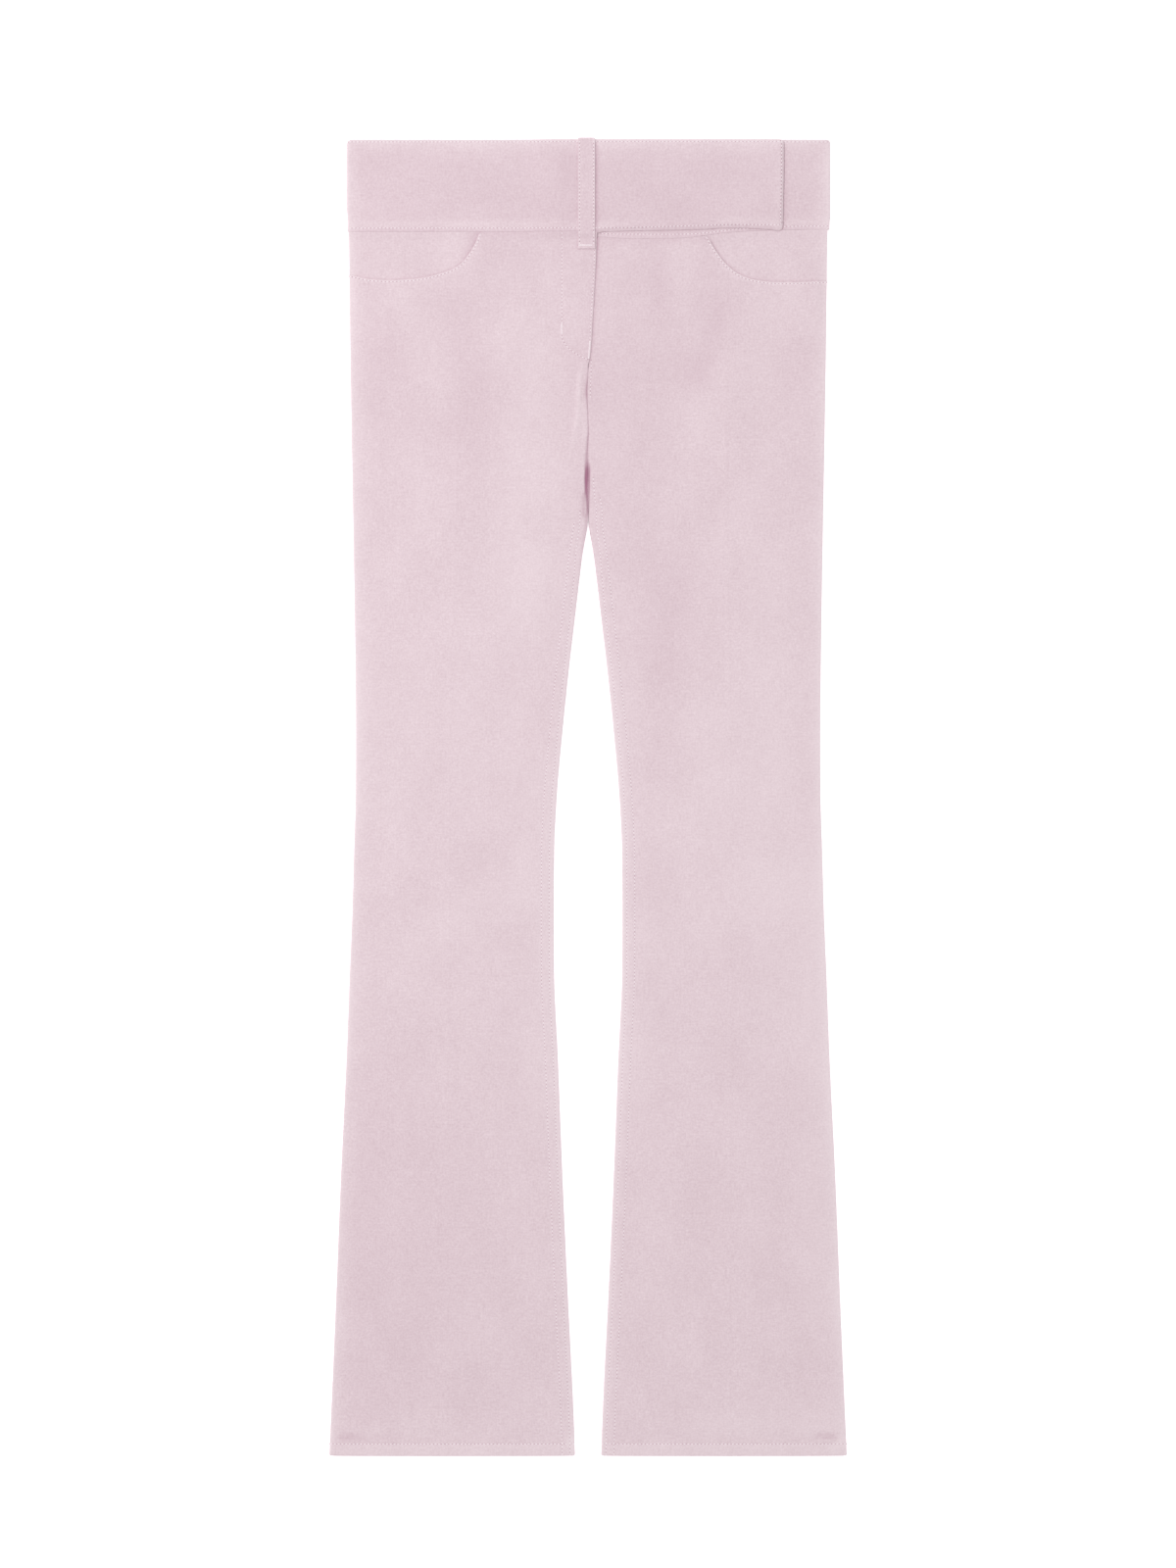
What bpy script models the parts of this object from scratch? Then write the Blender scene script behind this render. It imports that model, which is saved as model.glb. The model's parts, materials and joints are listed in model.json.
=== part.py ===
"""Bootcut trousers laid flat on their back, front up.

Every cut and sewn piece is its own object: an open sheet of cloth given its thickness by Solidify.
Lengths are in millimetres and the meshes are made in metres. x runs from the centre front to the
viewer's right, height runs up from the hem to the waistband, and z stands up from the surface.
Left and right are the wearer's, so the right leg has negative x. "Across" is the distance from
the centre front to either side. The two sides share one outline, because the garment's is symmetric.
"""

import math
from collections import namedtuple

import bmesh
import bpy

MM = 0.001

# Driving sizes
BAND_TOP = 1100.0       # the hem to the top edge of the waistband
BAND_HALF = 201.2       # half the waistband, laid flat
BAND_SEAM = 1022.9      # the right band's lower edge
CROTCH = 785.0          # the hem to the point where the legs part
CROTCH_FOLD = 60.0      # above it the fronts turn in towards their inseams for this much of the centre
CROTCH_OPEN = 2.2       # and stand this far to each side
FLY_FOOT = 911.0        # the lower end of the fly's lap
TAB_END = 163.3         # the tab's square end, past the centre front
UNDER_END = -18.0       # the left band's hidden end, under the tab
LOOP_SIDES = (-8.3, 5.7)
LOOP_FOOT = 1010.0
SIDE_CORNER = 3.3       # the rounding of the band's outer corners
TAB_CORNER = 2.5

# Cloth
CLOTH = 1.2             # one layer of cotton twill with its turnings
BAND_CLOTH = 2.4        # the band's outer layer, its backing and the turnings between them
SEAM_GAP = 0.3          # between pieces that are sewn or lie together
BAND_EDGE = 0.7         # the rounding of the band's folded edges
LOOP_EDGE = 0.4

# How the front stands off the back
EDGE_TOP = 2 * CLOTH + SEAM_GAP
ROLL_RISE = 0.3         # the front rolls over its seams
ROLL_REACH = 2.5
LOFT = 1.8              # and fills to this much more in the middle of a leg
LOFT_REACH = 18.0
CENTRE_FILL = 60.0      # how far inside the cloth the centre front counts as lying
FACING_LOFT = 0.9
CREASE_RISE = 1.6
CREASE_REACH = 7.0
CREASE_SOFT, CREASE_FULL = 985.0, 865.0
MOUTH_LIFT = 1.6        # the front's top over the facing's, at the pocket's mouth
MOUTH_NEAR, MOUTH_FAR = 18.0, 45.0

# The fly: its upper edge rises and the cloth under it sinks, each from so far across to so near
LAP = 0.75
LAP_SOFT = 878.0        # the height where that begins
LAP_FAR, LAP_NEAR = 45.0, 12.0
UNDERLAP_FAR, UNDERLAP_NEAR = 22.0, 6.0
BAND_LIFT = 1.1         # it rises this much more where it climbs over the left band
BAND_LIFT_FROM, BAND_LIFT_TO = 996.0, 1014.0
BAND_LIFT_FAR, BAND_LIFT_NEAR = 62.0, 28.0

# Table rows run up the leg, or from the centre front outwards, and a cubic joins them.
Station = namedtuple("Station", "height outer inner crease_right crease_left")
LEG = (
    Station(0.0, 215.8, 11.5, 117.9, 118.7),
    Station(37.0, 214.4, 12.7, 117.9, 118.7),
    Station(136.0, 210.4, 17.6, 117.9, 118.7),
    Station(234.0, 206.3, 22.1, 117.9, 118.7),
    Station(332.0, 201.4, 25.8, 117.2, 118.7),
    Station(406.0, 198.7, 29.1, 116.4, 118.7),
    Station(455.0, 196.7, 29.5, 116.3, 118.7),
    Station(504.0, 195.2, 29.1, 116.2, 118.7),
    Station(553.0, 193.6, 27.0, 116.0, 118.6),
    Station(602.0, 193.4, 22.5, 115.8, 118.3),
    Station(651.0, 193.8, 17.2, 115.2, 117.9),
    Station(701.0, 194.4, 11.5, 113.5, 117.2),
    Station(750.0, 195.2, 5.3, 111.7, 116.3),
    Station(785.0, 195.8, 0.3, 110.7, 116.0),
    Station(845.0, 196.8, 0.15, 109.2, 115.5),
    Station(921.0, 198.1, 0.15, 107.6, 115.2),
    Station(1023.0, 199.7, 0.15, 107.0, 115.0),
)

# The fly: the upper edge's x, and how far across the left front ends under it
FlyPoint = namedtuple("FlyPoint", "height edge under")
FLY = (
    FlyPoint(911.0, -0.15, 0.15),
    FlyPoint(918.0, 1.6, 0.15),
    FlyPoint(925.0, 2.4, 0.0),
    FlyPoint(941.0, 3.5, -8.0),
    FlyPoint(971.0, 4.9, -8.0),
    FlyPoint(1023.0, 5.9, -8.0),
)

# The scooped pocket mouths, from the waist seam out to the side seam
MouthPoint = namedtuple("MouthPoint", "across height")
RIGHT_MOUTH = (
    MouthPoint(90.5, 1022.6),
    MouthPoint(98.2, 1009.2),
    MouthPoint(104.8, 1001.8),
    MouthPoint(114.6, 993.7),
    MouthPoint(131.0, 987.1),
    MouthPoint(147.3, 983.8),
    MouthPoint(163.7, 982.6),
    MouthPoint(180.0, 983.0),
    MouthPoint(199.2, 987.1),
)
LEFT_MOUTH = (
    MouthPoint(98.5, 1019.0),
    MouthPoint(106.4, 1006.8),
    MouthPoint(116.2, 995.3),
    MouthPoint(126.9, 987.1),
    MouthPoint(139.1, 983.0),
    MouthPoint(155.5, 981.0),
    MouthPoint(176.0, 981.0),
    MouthPoint(199.2, 982.2),
)

# The band's lower edges. The left one dips under the tab, and the tab's own edge rises to its end.
SeamPoint = namedtuple("SeamPoint", "x height")
RIGHT_SEAM = (SeamPoint(-210.0, BAND_SEAM), SeamPoint(210.0, BAND_SEAM))
LEFT_SEAM = (
    SeamPoint(9.0, 1018.6),
    SeamPoint(33.0, 1017.1),
    SeamPoint(82.0, 1017.5),
    SeamPoint(100.0, 1019.1),
    SeamPoint(111.0, 1020.7),
    SeamPoint(127.0, 1022.4),
    SeamPoint(165.0, 1024.4),
    SeamPoint(202.0, 1024.8),
)
BACK_SLOPE_FROM = 150.0
TAB_SEAM = (
    SeamPoint(6.0, BAND_SEAM),
    SeamPoint(98.0, 1024.5),
    SeamPoint(163.3, 1026.0),
)

# The largest soft folds: each runs between two points, and fades over its reach
Fold = namedtuple("Fold", "x_from height_from x_to height_to rise reach")
FOLDS = (
    Fold(-7.0, 905.0, -12.0, 850.0, 0.7, 9.0),      # beside the right of the centre seam
    Fold(-52.0, 925.0, -48.0, 715.0, 0.8, 34.0),    # fullness of the right thigh
    Fold(66.0, 730.0, 62.0, 580.0, -0.7, 30.0),     # hollow inside the left thigh
    Fold(170.0, 972.0, 186.0, 944.0, 0.6, 9.0),     # drag below the left pocket
    Fold(150.0, 960.0, 130.0, 900.0, 0.5, 20.0),
    Fold(80.0, 1005.0, 86.0, 935.0, 0.5, 13.0),     # drag from the left waist seam
    Fold(-150.0, 965.0, -120.0, 890.0, 0.5, 24.0),
    Fold(-60.0, 470.0, -150.0, 430.0, 0.5, 26.0),   # slack behind the knees
    Fold(150.0, 480.0, 70.0, 440.0, 0.5, 26.0),
    Fold(-200.0, 14.0, -120.0, 24.0, 0.5, 12.0),    # puckers above the hems
    Fold(202.0, 14.0, 130.0, 22.0, 0.5, 12.0),
)

# Rows of each panel up to the yoke of the pocket, which has POCKET_ROWS more
PANEL_ROWS = (
    0.0, 12.0, 60.0, 136.0, 234.0, 332.0, 406.0, 455.0, 504.0, 553.0, 602.0, 651.0, 701.0,
    750.0, 785.0, 805.0, 825.0, 845.0, 878.0, 895.0, 911.0, 918.0, 925.0, 941.0, 955.0,
)
POCKET_ROWS = 4

# Columns of a panel, as distances in from its edges and to each side of its pressed crease
EDGE_STEPS = (0.0, 1.5, 4.0, 12.0)
CREASE_STEPS = (-16.0, -7.0, 0.0, 7.0, 16.0)

FACING_UNDERLAP = 12.0  # of the facing, under the pocket mouth
FACING_CLEAR = 8.0      # that stretch starts this far in from the side seam
FACING_FOOT_GAP = 0.4   # where it doesn't run under, it ends this far above the mouth
FACING_INNER_STEPS = (-FACING_UNDERLAP, -4.0, 0.0, 5.0, 11.0, 18.0)
FACING_OUTER_STEPS = (14.0, FACING_CLEAR + 1, FACING_CLEAR - 0.5, 4.0, 1.5, 0.0)
FACING_ROWS = (0.0, 0.2, 0.4, 0.6, 0.8, 1.0)

# The waistband: the front one lies on the back one, and the tab climbs over the left one
FRONT_BAND_UNDER = BAND_CLOTH + SEAM_GAP
TAB_RISE = BAND_CLOTH + SEAM_GAP
TAB_RISE_FROM, TAB_RISE_TO = -60.0, -22.0
BAND_STEPS = (0.0, 1.0, 2.2, SIDE_CORNER)
BAND_ROWS = (0.0, 0.03, 0.35, 0.65, 0.97, 1.0)
BAND_PITCH = 22.0       # between the columns along it

LOOP_CLOTH = 1.2
LOOP_BEND = 3.0         # outer radius where it folds over the band
LOOP_RISE = 1.6         # how far it stands past the band's top edge
LOOP_BEND_ENDS = (90, -15)
LOOP_STEP_FROM, LOOP_STEP_TO = 1016.5, 1021.8

MIDDLE = (BAND_TOP + LOOP_RISE) / 2
DUSTY_PINK = 0xE1CDD4
ROUGHNESS = 0.9

Side = namedtuple("Side", "name sign crease mouth seam")
RIGHT = Side("right", -1, "crease_right", RIGHT_MOUTH, RIGHT_SEAM)
LEFT = Side("left", 1, "crease_left", LEFT_MOUTH, LEFT_SEAM)


def smooth(rows, column, at):
    """A table's column at any value of its first one, by a cubic that never overshoots its rows."""
    first = rows[0]._fields[0]
    xs = [getattr(row, first) for row in rows]
    ys = [getattr(row, column) for row in rows]
    at = min(max(at, xs[0]), xs[-1])
    i = max(k for k in range(len(xs) - 1) if xs[k] <= at)
    slopes = [(ys[k + 1] - ys[k]) / (xs[k + 1] - xs[k]) for k in range(len(xs) - 1)]

    def tangent(k):
        if k in (0, len(slopes)):
            return slopes[min(k, len(slopes) - 1)]
        before, after = slopes[k - 1], slopes[k]
        return 0.0 if before * after <= 0 else 2 * before * after / (before + after)

    width = xs[i + 1] - xs[i]
    t = (at - xs[i]) / width
    return (
        ys[i] * (1 + 2 * t) * (1 - t) ** 2
        + ys[i + 1] * t * t * (3 - 2 * t)
        + tangent(i) * width * t * (1 - t) ** 2
        - tangent(i + 1) * width * t * t * (1 - t)
    )


def ramp(start, end, at):
    """0 before start, 1 past end, and an even curve between. End may be the lower one."""
    t = min(max((at - start) / (end - start), 0.0), 1.0)
    return t * t * (3 - 2 * t)


def between(start, end, count):
    """Evenly spaced values between two others, without them."""
    return [start + (end - start) * (k + 1) / (count + 1) for k in range(count)]


def rounded(distance, radius):
    """How far a corner of this radius falls short of the edge, so far from its end."""
    reach = min(max(radius - distance, 0.0), radius)
    return radius - math.sqrt(radius * radius - reach * reach)


# Outline


def outer_edge(height):
    return smooth(LEG, "outer", height)


def centre_edge(height):
    """The front's inseam, and above the crotch its centre seam."""
    turned = min(max((height - CROTCH) / CROTCH_FOLD, 0.0), 1.0)
    return smooth(LEG, "inner", height) + CROTCH_OPEN * math.sin(math.pi * turned)


def inner_edge(side, height):
    """The inseam or centre seam, and above it the fly's edge or the cloth under it."""
    if height <= FLY_FOOT:
        return centre_edge(height)
    if side is RIGHT:
        return -smooth(FLY, "edge", height)
    return smooth(FLY, "under", height)


def back_seam(x):
    """The lower edge of the back band, which slopes up to the left band's at that side."""
    rise = LEFT_SEAM[-1].height - BAND_SEAM
    return BAND_SEAM + rise * max(x - BACK_SLOPE_FROM, 0.0) / (LEFT_SEAM[-1].x - BACK_SLOPE_FROM)


def top_edge(side, across):
    """The waist seam, and past its end the pocket's mouth."""
    if across > side.mouth[0].across:
        return smooth(side.mouth, "height", across)
    return smooth(side.seam, "height", side.sign * across) - SEAM_GAP


# Relief of the front


def fold_relief(x, height):
    """The sum of the soft folds at a point."""
    relief = 0.0
    for fold in FOLDS:
        run_x, run_height = fold.x_to - fold.x_from, fold.height_to - fold.height_from
        along = (x - fold.x_from) * run_x + (height - fold.height_from) * run_height
        along = min(max(along / (run_x**2 + run_height**2), 0.0), 1.0)
        off_x = x - fold.x_from - along * run_x
        off_height = height - fold.height_from - along * run_height
        relief += fold.rise * math.exp(-(off_x**2 + off_height**2) / fold.reach**2)
    return relief


def crease_relief(side, across, height):
    """The pressed crease: a low ridge with a sharp top, soft at the hip."""
    off = abs(across - smooth(LEG, side.crease, height))
    return CREASE_RISE * ramp(CREASE_SOFT, CREASE_FULL, height) * math.exp(-off / CREASE_REACH)


def roll(inside):
    """The rounded rise of cloth over a seam, from 0 at the seam to 1."""
    return 1 - rounded(inside, ROLL_REACH) / ROLL_REACH


def fill(inside):
    return 1 - math.exp(-inside / LOFT_REACH)


def facing_top(across, height):
    """The upper face of the pocket facing."""
    inside = outer_edge(height) - across
    return EDGE_TOP + ROLL_RISE * roll(inside) + FACING_LOFT * fill(inside)


def mouth_distance(side, across, height):
    """How far a point of the front is from its pocket's mouth."""
    corner = side.mouth[0].across
    below = smooth(side.mouth, "height", across) - height
    return math.hypot(max(corner - across, 0.0), max(below, 0.0))


def front_top(side, across, height):
    """The upper face of a front leg panel."""
    from_side = outer_edge(height) - across
    from_centre = across - centre_edge(height) + CENTRE_FILL * ramp(CROTCH, FLY_FOOT, height)
    top = EDGE_TOP + ROLL_RISE * roll(min(from_side, from_centre))
    top += LOFT * fill(from_side) * fill(from_centre)
    held = roll(min(from_side, from_centre))
    top += held * crease_relief(side, across, height)
    top += held * fold_relief(side.sign * across, height) * fill(from_side)

    over_facing = facing_top(across, height) + MOUTH_LIFT
    near = ramp(MOUTH_FAR, MOUTH_NEAR, mouth_distance(side, across, height))
    near *= ramp(ROLL_REACH, FACING_CLEAR - 1, from_side)
    top += near * max(over_facing - top, 0.0)

    lapped = LAP * ramp(LAP_SOFT, FLY_FOOT, height)
    if side is LEFT:
        return top - lapped * ramp(UNDERLAP_FAR, UNDERLAP_NEAR, across)
    top += lapped * ramp(LAP_FAR, LAP_NEAR, across)
    climb = ramp(BAND_LIFT_FROM, BAND_LIFT_TO, height)
    return top + BAND_LIFT * climb * ramp(BAND_LIFT_FAR, BAND_LIFT_NEAR, across)


# Sheets


def sheet(name, rows, thickness, edge=0.0):
    """An open sheet through rows of (x, height, z), thickened away from its upper face."""
    mesh = bpy.data.meshes.new(name)
    shape = bmesh.new()
    points = [
        [shape.verts.new((x * MM, (height - MIDDLE) * MM, z * MM)) for x, height, z in row]
        for row in rows
    ]
    for lower, upper in zip(points, points[1:]):
        for k in range(len(lower) - 1):
            shape.faces.new((lower[k], lower[k + 1], upper[k + 1], upper[k]))
    shape.normal_update()
    if sum(face.normal.z for face in shape.faces) < 0:
        bmesh.ops.reverse_faces(shape, faces=shape.faces[:])
    shape.to_mesh(mesh)
    shape.free()
    mesh.shade_smooth()
    mesh.materials.append(cloth_material(name))

    piece = bpy.data.objects.new(name, mesh)
    solidify = piece.modifiers.new("cloth", "SOLIDIFY")
    solidify.thickness = thickness * MM
    solidify.offset = -1.0
    if edge:
        bevel = piece.modifiers.new("folded edges", "BEVEL")
        bevel.width = edge * MM
        bevel.segments = 2
        bevel.limit_method = "ANGLE"
        bevel.angle_limit = math.radians(60)
        bevel.use_clamp_overlap = False
    garment.objects.link(piece)


def linear(channel):
    """One sRGB channel, 0 to 255, as linear light."""
    value = channel / 255
    return value / 12.92 if value <= 0.04045 else ((value + 0.055) / 1.055) ** 2.4


def cloth_material(name):
    material = bpy.data.materials.new(name + "_twill")
    material.use_nodes = True
    shader = material.node_tree.nodes["Principled BSDF"]
    colour = [linear(DUSTY_PINK >> shift & 255) for shift in (16, 8, 0)]
    shader.inputs["Base Color"].default_value = (*colour, 1.0)
    shader.inputs["Roughness"].default_value = ROUGHNESS
    shader.inputs["Metallic"].default_value = 0.0
    return material


# Pieces


def panel_columns(side, height):
    """Points across a front panel: close at its edges and over the pressed crease."""
    inner, outer = inner_edge(side, height), outer_edge(height)
    crease = smooth(LEG, side.crease, height)
    return [
        *(inner + step for step in EDGE_STEPS),
        *between(inner + EDGE_STEPS[-1], crease + CREASE_STEPS[0], 3),
        *(crease + step for step in CREASE_STEPS),
        *between(crease + CREASE_STEPS[-1], outer - EDGE_STEPS[-1], 2),
        *(outer - step for step in (EDGE_STEPS[-1], FACING_CLEAR, *reversed(EDGE_STEPS[:-1]))),
    ]


def front_leg(side):
    """One front: level rows up the leg, then rows that bend up to the waist seam and the mouth."""
    outline = [[(across, height) for across in panel_columns(side, height)] for height in PANEL_ROWS]
    start = PANEL_ROWS[-1]
    for step in range(1, POCKET_ROWS + 1):
        share = step / POCKET_ROWS
        row = []
        for k, across in enumerate(panel_columns(side, start + share * (BAND_SEAM - start))):
            height = start + share * (top_edge(side, across) - start)
            row.append((panel_columns(side, height)[k], height))
        outline.append(row)
    rows = [
        [(side.sign * across, height, front_top(side, across, height)) for across, height in row]
        for row in outline
    ]
    sheet("front_leg_" + side.name, rows, CLOTH)


def back_leg(side):
    """One back: it lies flat on the surface from the hem to the waist seam."""
    rows = []
    for height in (*PANEL_ROWS, BAND_SEAM):
        inner, outer = smooth(LEG, "inner", height), outer_edge(height)
        columns = [side.sign * across for across in (inner, *between(inner, outer, 3), outer)]
        rows.append([(x, height, CLOTH) for x in columns])
    rows[-1] = [(x, back_seam(x) - SEAM_GAP, z) for x, _, z in rows[-1]]
    sheet("back_leg_" + side.name, rows, CLOTH)


def pocket_facing(side):
    """The cloth inside the scoop, which runs on under the front's mouth."""
    corner = side.mouth[0].across
    edge = outer_edge(side.mouth[-1].height)
    columns = [corner + step for step in FACING_INNER_STEPS]
    columns += between(columns[-1], edge - FACING_OUTER_STEPS[0], 5)
    columns += [edge - step for step in FACING_OUTER_STEPS]
    rows = []
    for share in FACING_ROWS:
        row = []
        for across in columns:
            underlap = FACING_UNDERLAP if edge - across > FACING_CLEAR else -FACING_FOOT_GAP
            foot = smooth(side.mouth, "height", across) - underlap
            head = smooth(side.seam, "height", side.sign * across) - SEAM_GAP
            height = foot + share * (head - foot)
            out = across + outer_edge(height) - edge if edge - across < FACING_CLEAR else across
            row.append((side.sign * out, height, facing_top(out, height)))
        rows.append(row)
    sheet("pocket_facing_" + side.name, rows, CLOTH)


def band(name, start, end, lower, under, start_corner, end_corner, end_foot_corner=0.0):
    """A length of waistband: a flat doubled strip whose corners are rounded by these radii."""
    columns = [start + step for step in BAND_STEPS]
    columns += between(columns[-1], end - BAND_STEPS[-1], math.ceil((end - start) / BAND_PITCH))
    columns += [end - step for step in reversed(BAND_STEPS)]
    rows = []
    for share in BAND_ROWS:
        row = []
        for x in columns:
            foot = lower(x) + rounded(end - x, end_foot_corner)
            head = BAND_TOP - rounded(x - start, start_corner) - rounded(end - x, end_corner)
            row.append((x, foot + share * (head - foot), under(x) + BAND_CLOTH))
        rows.append(row)
    sheet(name, rows, BAND_CLOTH, BAND_EDGE)


def left_seam(x):
    return smooth(LEFT_SEAM, "height", x)


def tab_seam(x):
    return smooth(TAB_SEAM, "height", x)


def tab_under(x):
    """The underside of the right band, which climbs over the left one before the centre front."""
    return FRONT_BAND_UNDER + TAB_RISE * ramp(TAB_RISE_FROM, TAB_RISE_TO, x)


def belt_loop():
    """A strip from the fly's top, up over the band and over its edge."""
    band_top = tab_under(0.0) + BAND_CLOTH
    bend_z = band_top + 2 * SEAM_GAP + LOOP_CLOTH - LOOP_BEND
    bend_height = BAND_TOP + LOOP_RISE - LOOP_BEND
    start, end = (math.radians(angle) for angle in LOOP_BEND_ENDS)
    bend = [
        (bend_height + LOOP_BEND * math.cos(angle), bend_z + LOOP_BEND * math.sin(angle))
        for angle in (start, *between(start, end, 4), end)
    ]
    straight_end = bend_height - 2 * LOOP_BEND
    columns = (LOOP_SIDES[0], *between(*LOOP_SIDES, 2), LOOP_SIDES[1])
    proud = SEAM_GAP + LOOP_CLOTH
    rows = [
        [(x, height, front_top(RIGHT, -x, height) + proud) for x in columns]
        for height in (LOOP_FOOT, *between(LOOP_FOOT, LOOP_STEP_FROM, 1), LOOP_STEP_FROM)
    ]
    rows += [
        [(x, height, band_top + proud) for x in columns]
        for height in (LOOP_STEP_TO, *between(LOOP_STEP_TO, straight_end, 3), straight_end)
    ]
    rows += [[(x, height, z) for x in columns] for height, z in bend]
    sheet("belt_loop", rows, LOOP_CLOTH, LOOP_EDGE)


for old in list(bpy.data.objects):
    bpy.data.objects.remove(old)
garment = bpy.data.collections.new("bootcut_trousers")
bpy.context.scene.collection.children.link(garment)

for side in (RIGHT, LEFT):
    back_leg(side)
    pocket_facing(side)
    front_leg(side)
band("waistband_back", -BAND_HALF, BAND_HALF, back_seam, lambda x: 0.0, SIDE_CORNER, SIDE_CORNER)
band("waistband_under", UNDER_END, BAND_HALF, left_seam, lambda x: FRONT_BAND_UNDER, 0.0, SIDE_CORNER)
band("waistband_tab", -BAND_HALF, TAB_END, tab_seam, tab_under, SIDE_CORNER, TAB_CORNER, TAB_CORNER)
belt_loop()
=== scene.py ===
"""Bootcut trousers in pale dusty pink cotton twill, laid flat front up and seen from straight above.

Lengths are in millimetres until a mesh is made. x runs from the centre front to the viewer's right,
height runs up from the hems, and z stands up from the floor. Left and right are the wearer's, so the
right leg has negative x, and "across" is the distance from the centre front to either side.
"""

import json
import math
from collections import namedtuple
from functools import partial

import bpy
import numpy as np
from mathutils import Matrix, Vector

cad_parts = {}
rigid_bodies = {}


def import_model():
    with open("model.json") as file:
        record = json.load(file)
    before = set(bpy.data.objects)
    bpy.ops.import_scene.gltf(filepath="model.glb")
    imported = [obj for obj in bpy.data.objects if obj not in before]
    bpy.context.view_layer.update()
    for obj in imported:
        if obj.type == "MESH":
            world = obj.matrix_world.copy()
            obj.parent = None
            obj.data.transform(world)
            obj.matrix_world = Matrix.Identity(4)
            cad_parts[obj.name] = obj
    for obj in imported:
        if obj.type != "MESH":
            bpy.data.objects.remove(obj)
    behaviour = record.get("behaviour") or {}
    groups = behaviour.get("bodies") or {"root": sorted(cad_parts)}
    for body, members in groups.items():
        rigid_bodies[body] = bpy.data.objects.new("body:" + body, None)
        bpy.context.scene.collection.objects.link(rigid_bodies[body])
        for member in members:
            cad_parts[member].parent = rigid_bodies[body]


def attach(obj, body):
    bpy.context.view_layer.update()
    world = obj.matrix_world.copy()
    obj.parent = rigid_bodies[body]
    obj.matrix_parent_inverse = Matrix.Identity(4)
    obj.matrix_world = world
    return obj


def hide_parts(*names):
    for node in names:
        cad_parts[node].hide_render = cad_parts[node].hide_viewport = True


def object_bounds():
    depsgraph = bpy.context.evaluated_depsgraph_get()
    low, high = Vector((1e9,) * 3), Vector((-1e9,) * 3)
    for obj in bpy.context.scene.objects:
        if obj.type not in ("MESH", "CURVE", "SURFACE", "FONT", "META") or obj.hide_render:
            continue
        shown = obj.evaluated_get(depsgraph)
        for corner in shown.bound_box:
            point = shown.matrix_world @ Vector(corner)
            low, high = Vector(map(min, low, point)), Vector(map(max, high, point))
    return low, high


for leftover in list(bpy.data.objects):
    bpy.data.objects.remove(leftover)
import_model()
solid_box = [list(corner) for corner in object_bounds()]
MM = 0.001
HEM_Y = solid_box[0][1] / MM    # where the hems lie in the frame, whose origin is the outline's middle


# ---------------------------------------------------------------------------------------------
# The camera hangs straight above with a long lens, so that the outline shows without perspective.
# It takes in 1310 mm of the floor from top to bottom, and the trousers lie just above its middle.

VIEW_HEIGHT = 1309.6
VIEW_MIDDLE = 561.5             # how far up the garment it points
GARMENT_TOP = 5.0
LENS = 100.0
FILM = 36.0

camera_data = bpy.data.cameras.new("camera_above")
camera_data.lens = LENS
camera_data.sensor_width = FILM
camera_data.clip_end = 60.0
camera = bpy.data.objects.new("camera_above", camera_data)
camera.location = (
    0.0,
    (VIEW_MIDDLE + HEM_Y) * MM,
    (GARMENT_TOP + VIEW_HEIGHT * LENS / FILM) * MM,
)
bpy.context.scene.collection.objects.link(camera)
bpy.context.scene.camera = camera


# ---------------------------------------------------------------------------------------------
# The floor is a sheet of matt white backdrop paper. It glows a little, as on a light table, so that
# the garment throws hardly any shadow on it.

FLOOR_SIZE = 40.0               # metres
FLOOR_GLOW = 0.55
PAPER_WHITE = 0xF4F3F4


def colour(hex_value):
    """An sRGB hex colour as linear light."""
    channels = [(hex_value >> shift & 255) / 255 for shift in (16, 8, 0)]
    light = [c / 12.92 if c <= 0.04045 else ((c + 0.055) / 1.055) ** 2.4 for c in channels]
    return (*light, 1.0)


def new_material(name, finish):
    """A material and its Principled shader, whose inputs finish gives by name."""
    material = bpy.data.materials.new(name)
    material.use_nodes = True
    shader = material.node_tree.nodes["Principled BSDF"]
    for socket, value in finish.items():
        shader.inputs[socket].default_value = value
    return material, shader


paper, _ = new_material("matt_white_backdrop_paper", {
    "Base Color": colour(PAPER_WHITE),
    "Roughness": 0.95,
    "Specular IOR Level": 0.1,
    "Emission Color": (1.0, 1.0, 1.0, 1.0),
    "Emission Strength": FLOOR_GLOW,
})

bpy.ops.mesh.primitive_plane_add(size=FLOOR_SIZE)
floor = bpy.context.object
floor.name = "backdrop_floor"
floor.data.materials.append(paper)


# ---------------------------------------------------------------------------------------------
# The light is a white studio: even light from all round, and one large soft window above the waist and
# to its left, which draws a thin shadow along the edges that face right and down.

ROOM_LIGHT = 0.74
WINDOW_PLACE = (-1.3, 0.9, 2.3)
WINDOW_SIZE = 0.9
WINDOW_POWER = 25.0

studio = bpy.data.worlds.new("white_studio")
studio.use_nodes = True
studio.node_tree.nodes["Background"].inputs["Color"].default_value = (1.0, 1.0, 1.0, 1.0)
studio.node_tree.nodes["Background"].inputs["Strength"].default_value = ROOM_LIGHT
bpy.context.scene.world = studio
bpy.context.scene.view_settings.view_transform = "Standard"

window_data = bpy.data.lights.new("soft_window", "AREA")
window_data.size = WINDOW_SIZE
window_data.energy = WINDOW_POWER
window = bpy.data.objects.new("soft_window", window_data)
window.location = WINDOW_PLACE
facing_garment = -window.location.normalized()
window.rotation_euler = facing_garment.to_track_quat("-Z", "Y").to_euler()
window.visible_camera = False
bpy.context.scene.collection.objects.link(window)


# ---------------------------------------------------------------------------------------------
# Back legs. The two back panels of the trousers, cut in cotton twill, lie flat on the floor. They are
# sewn to the fronts at the side seam and inseam, and to each other at the centre back.


def table(columns, rows):
    """Rows of sizes, whose columns have names."""
    row_type = namedtuple("Row", columns)
    return [row_type(*row) for row in rows]


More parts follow.
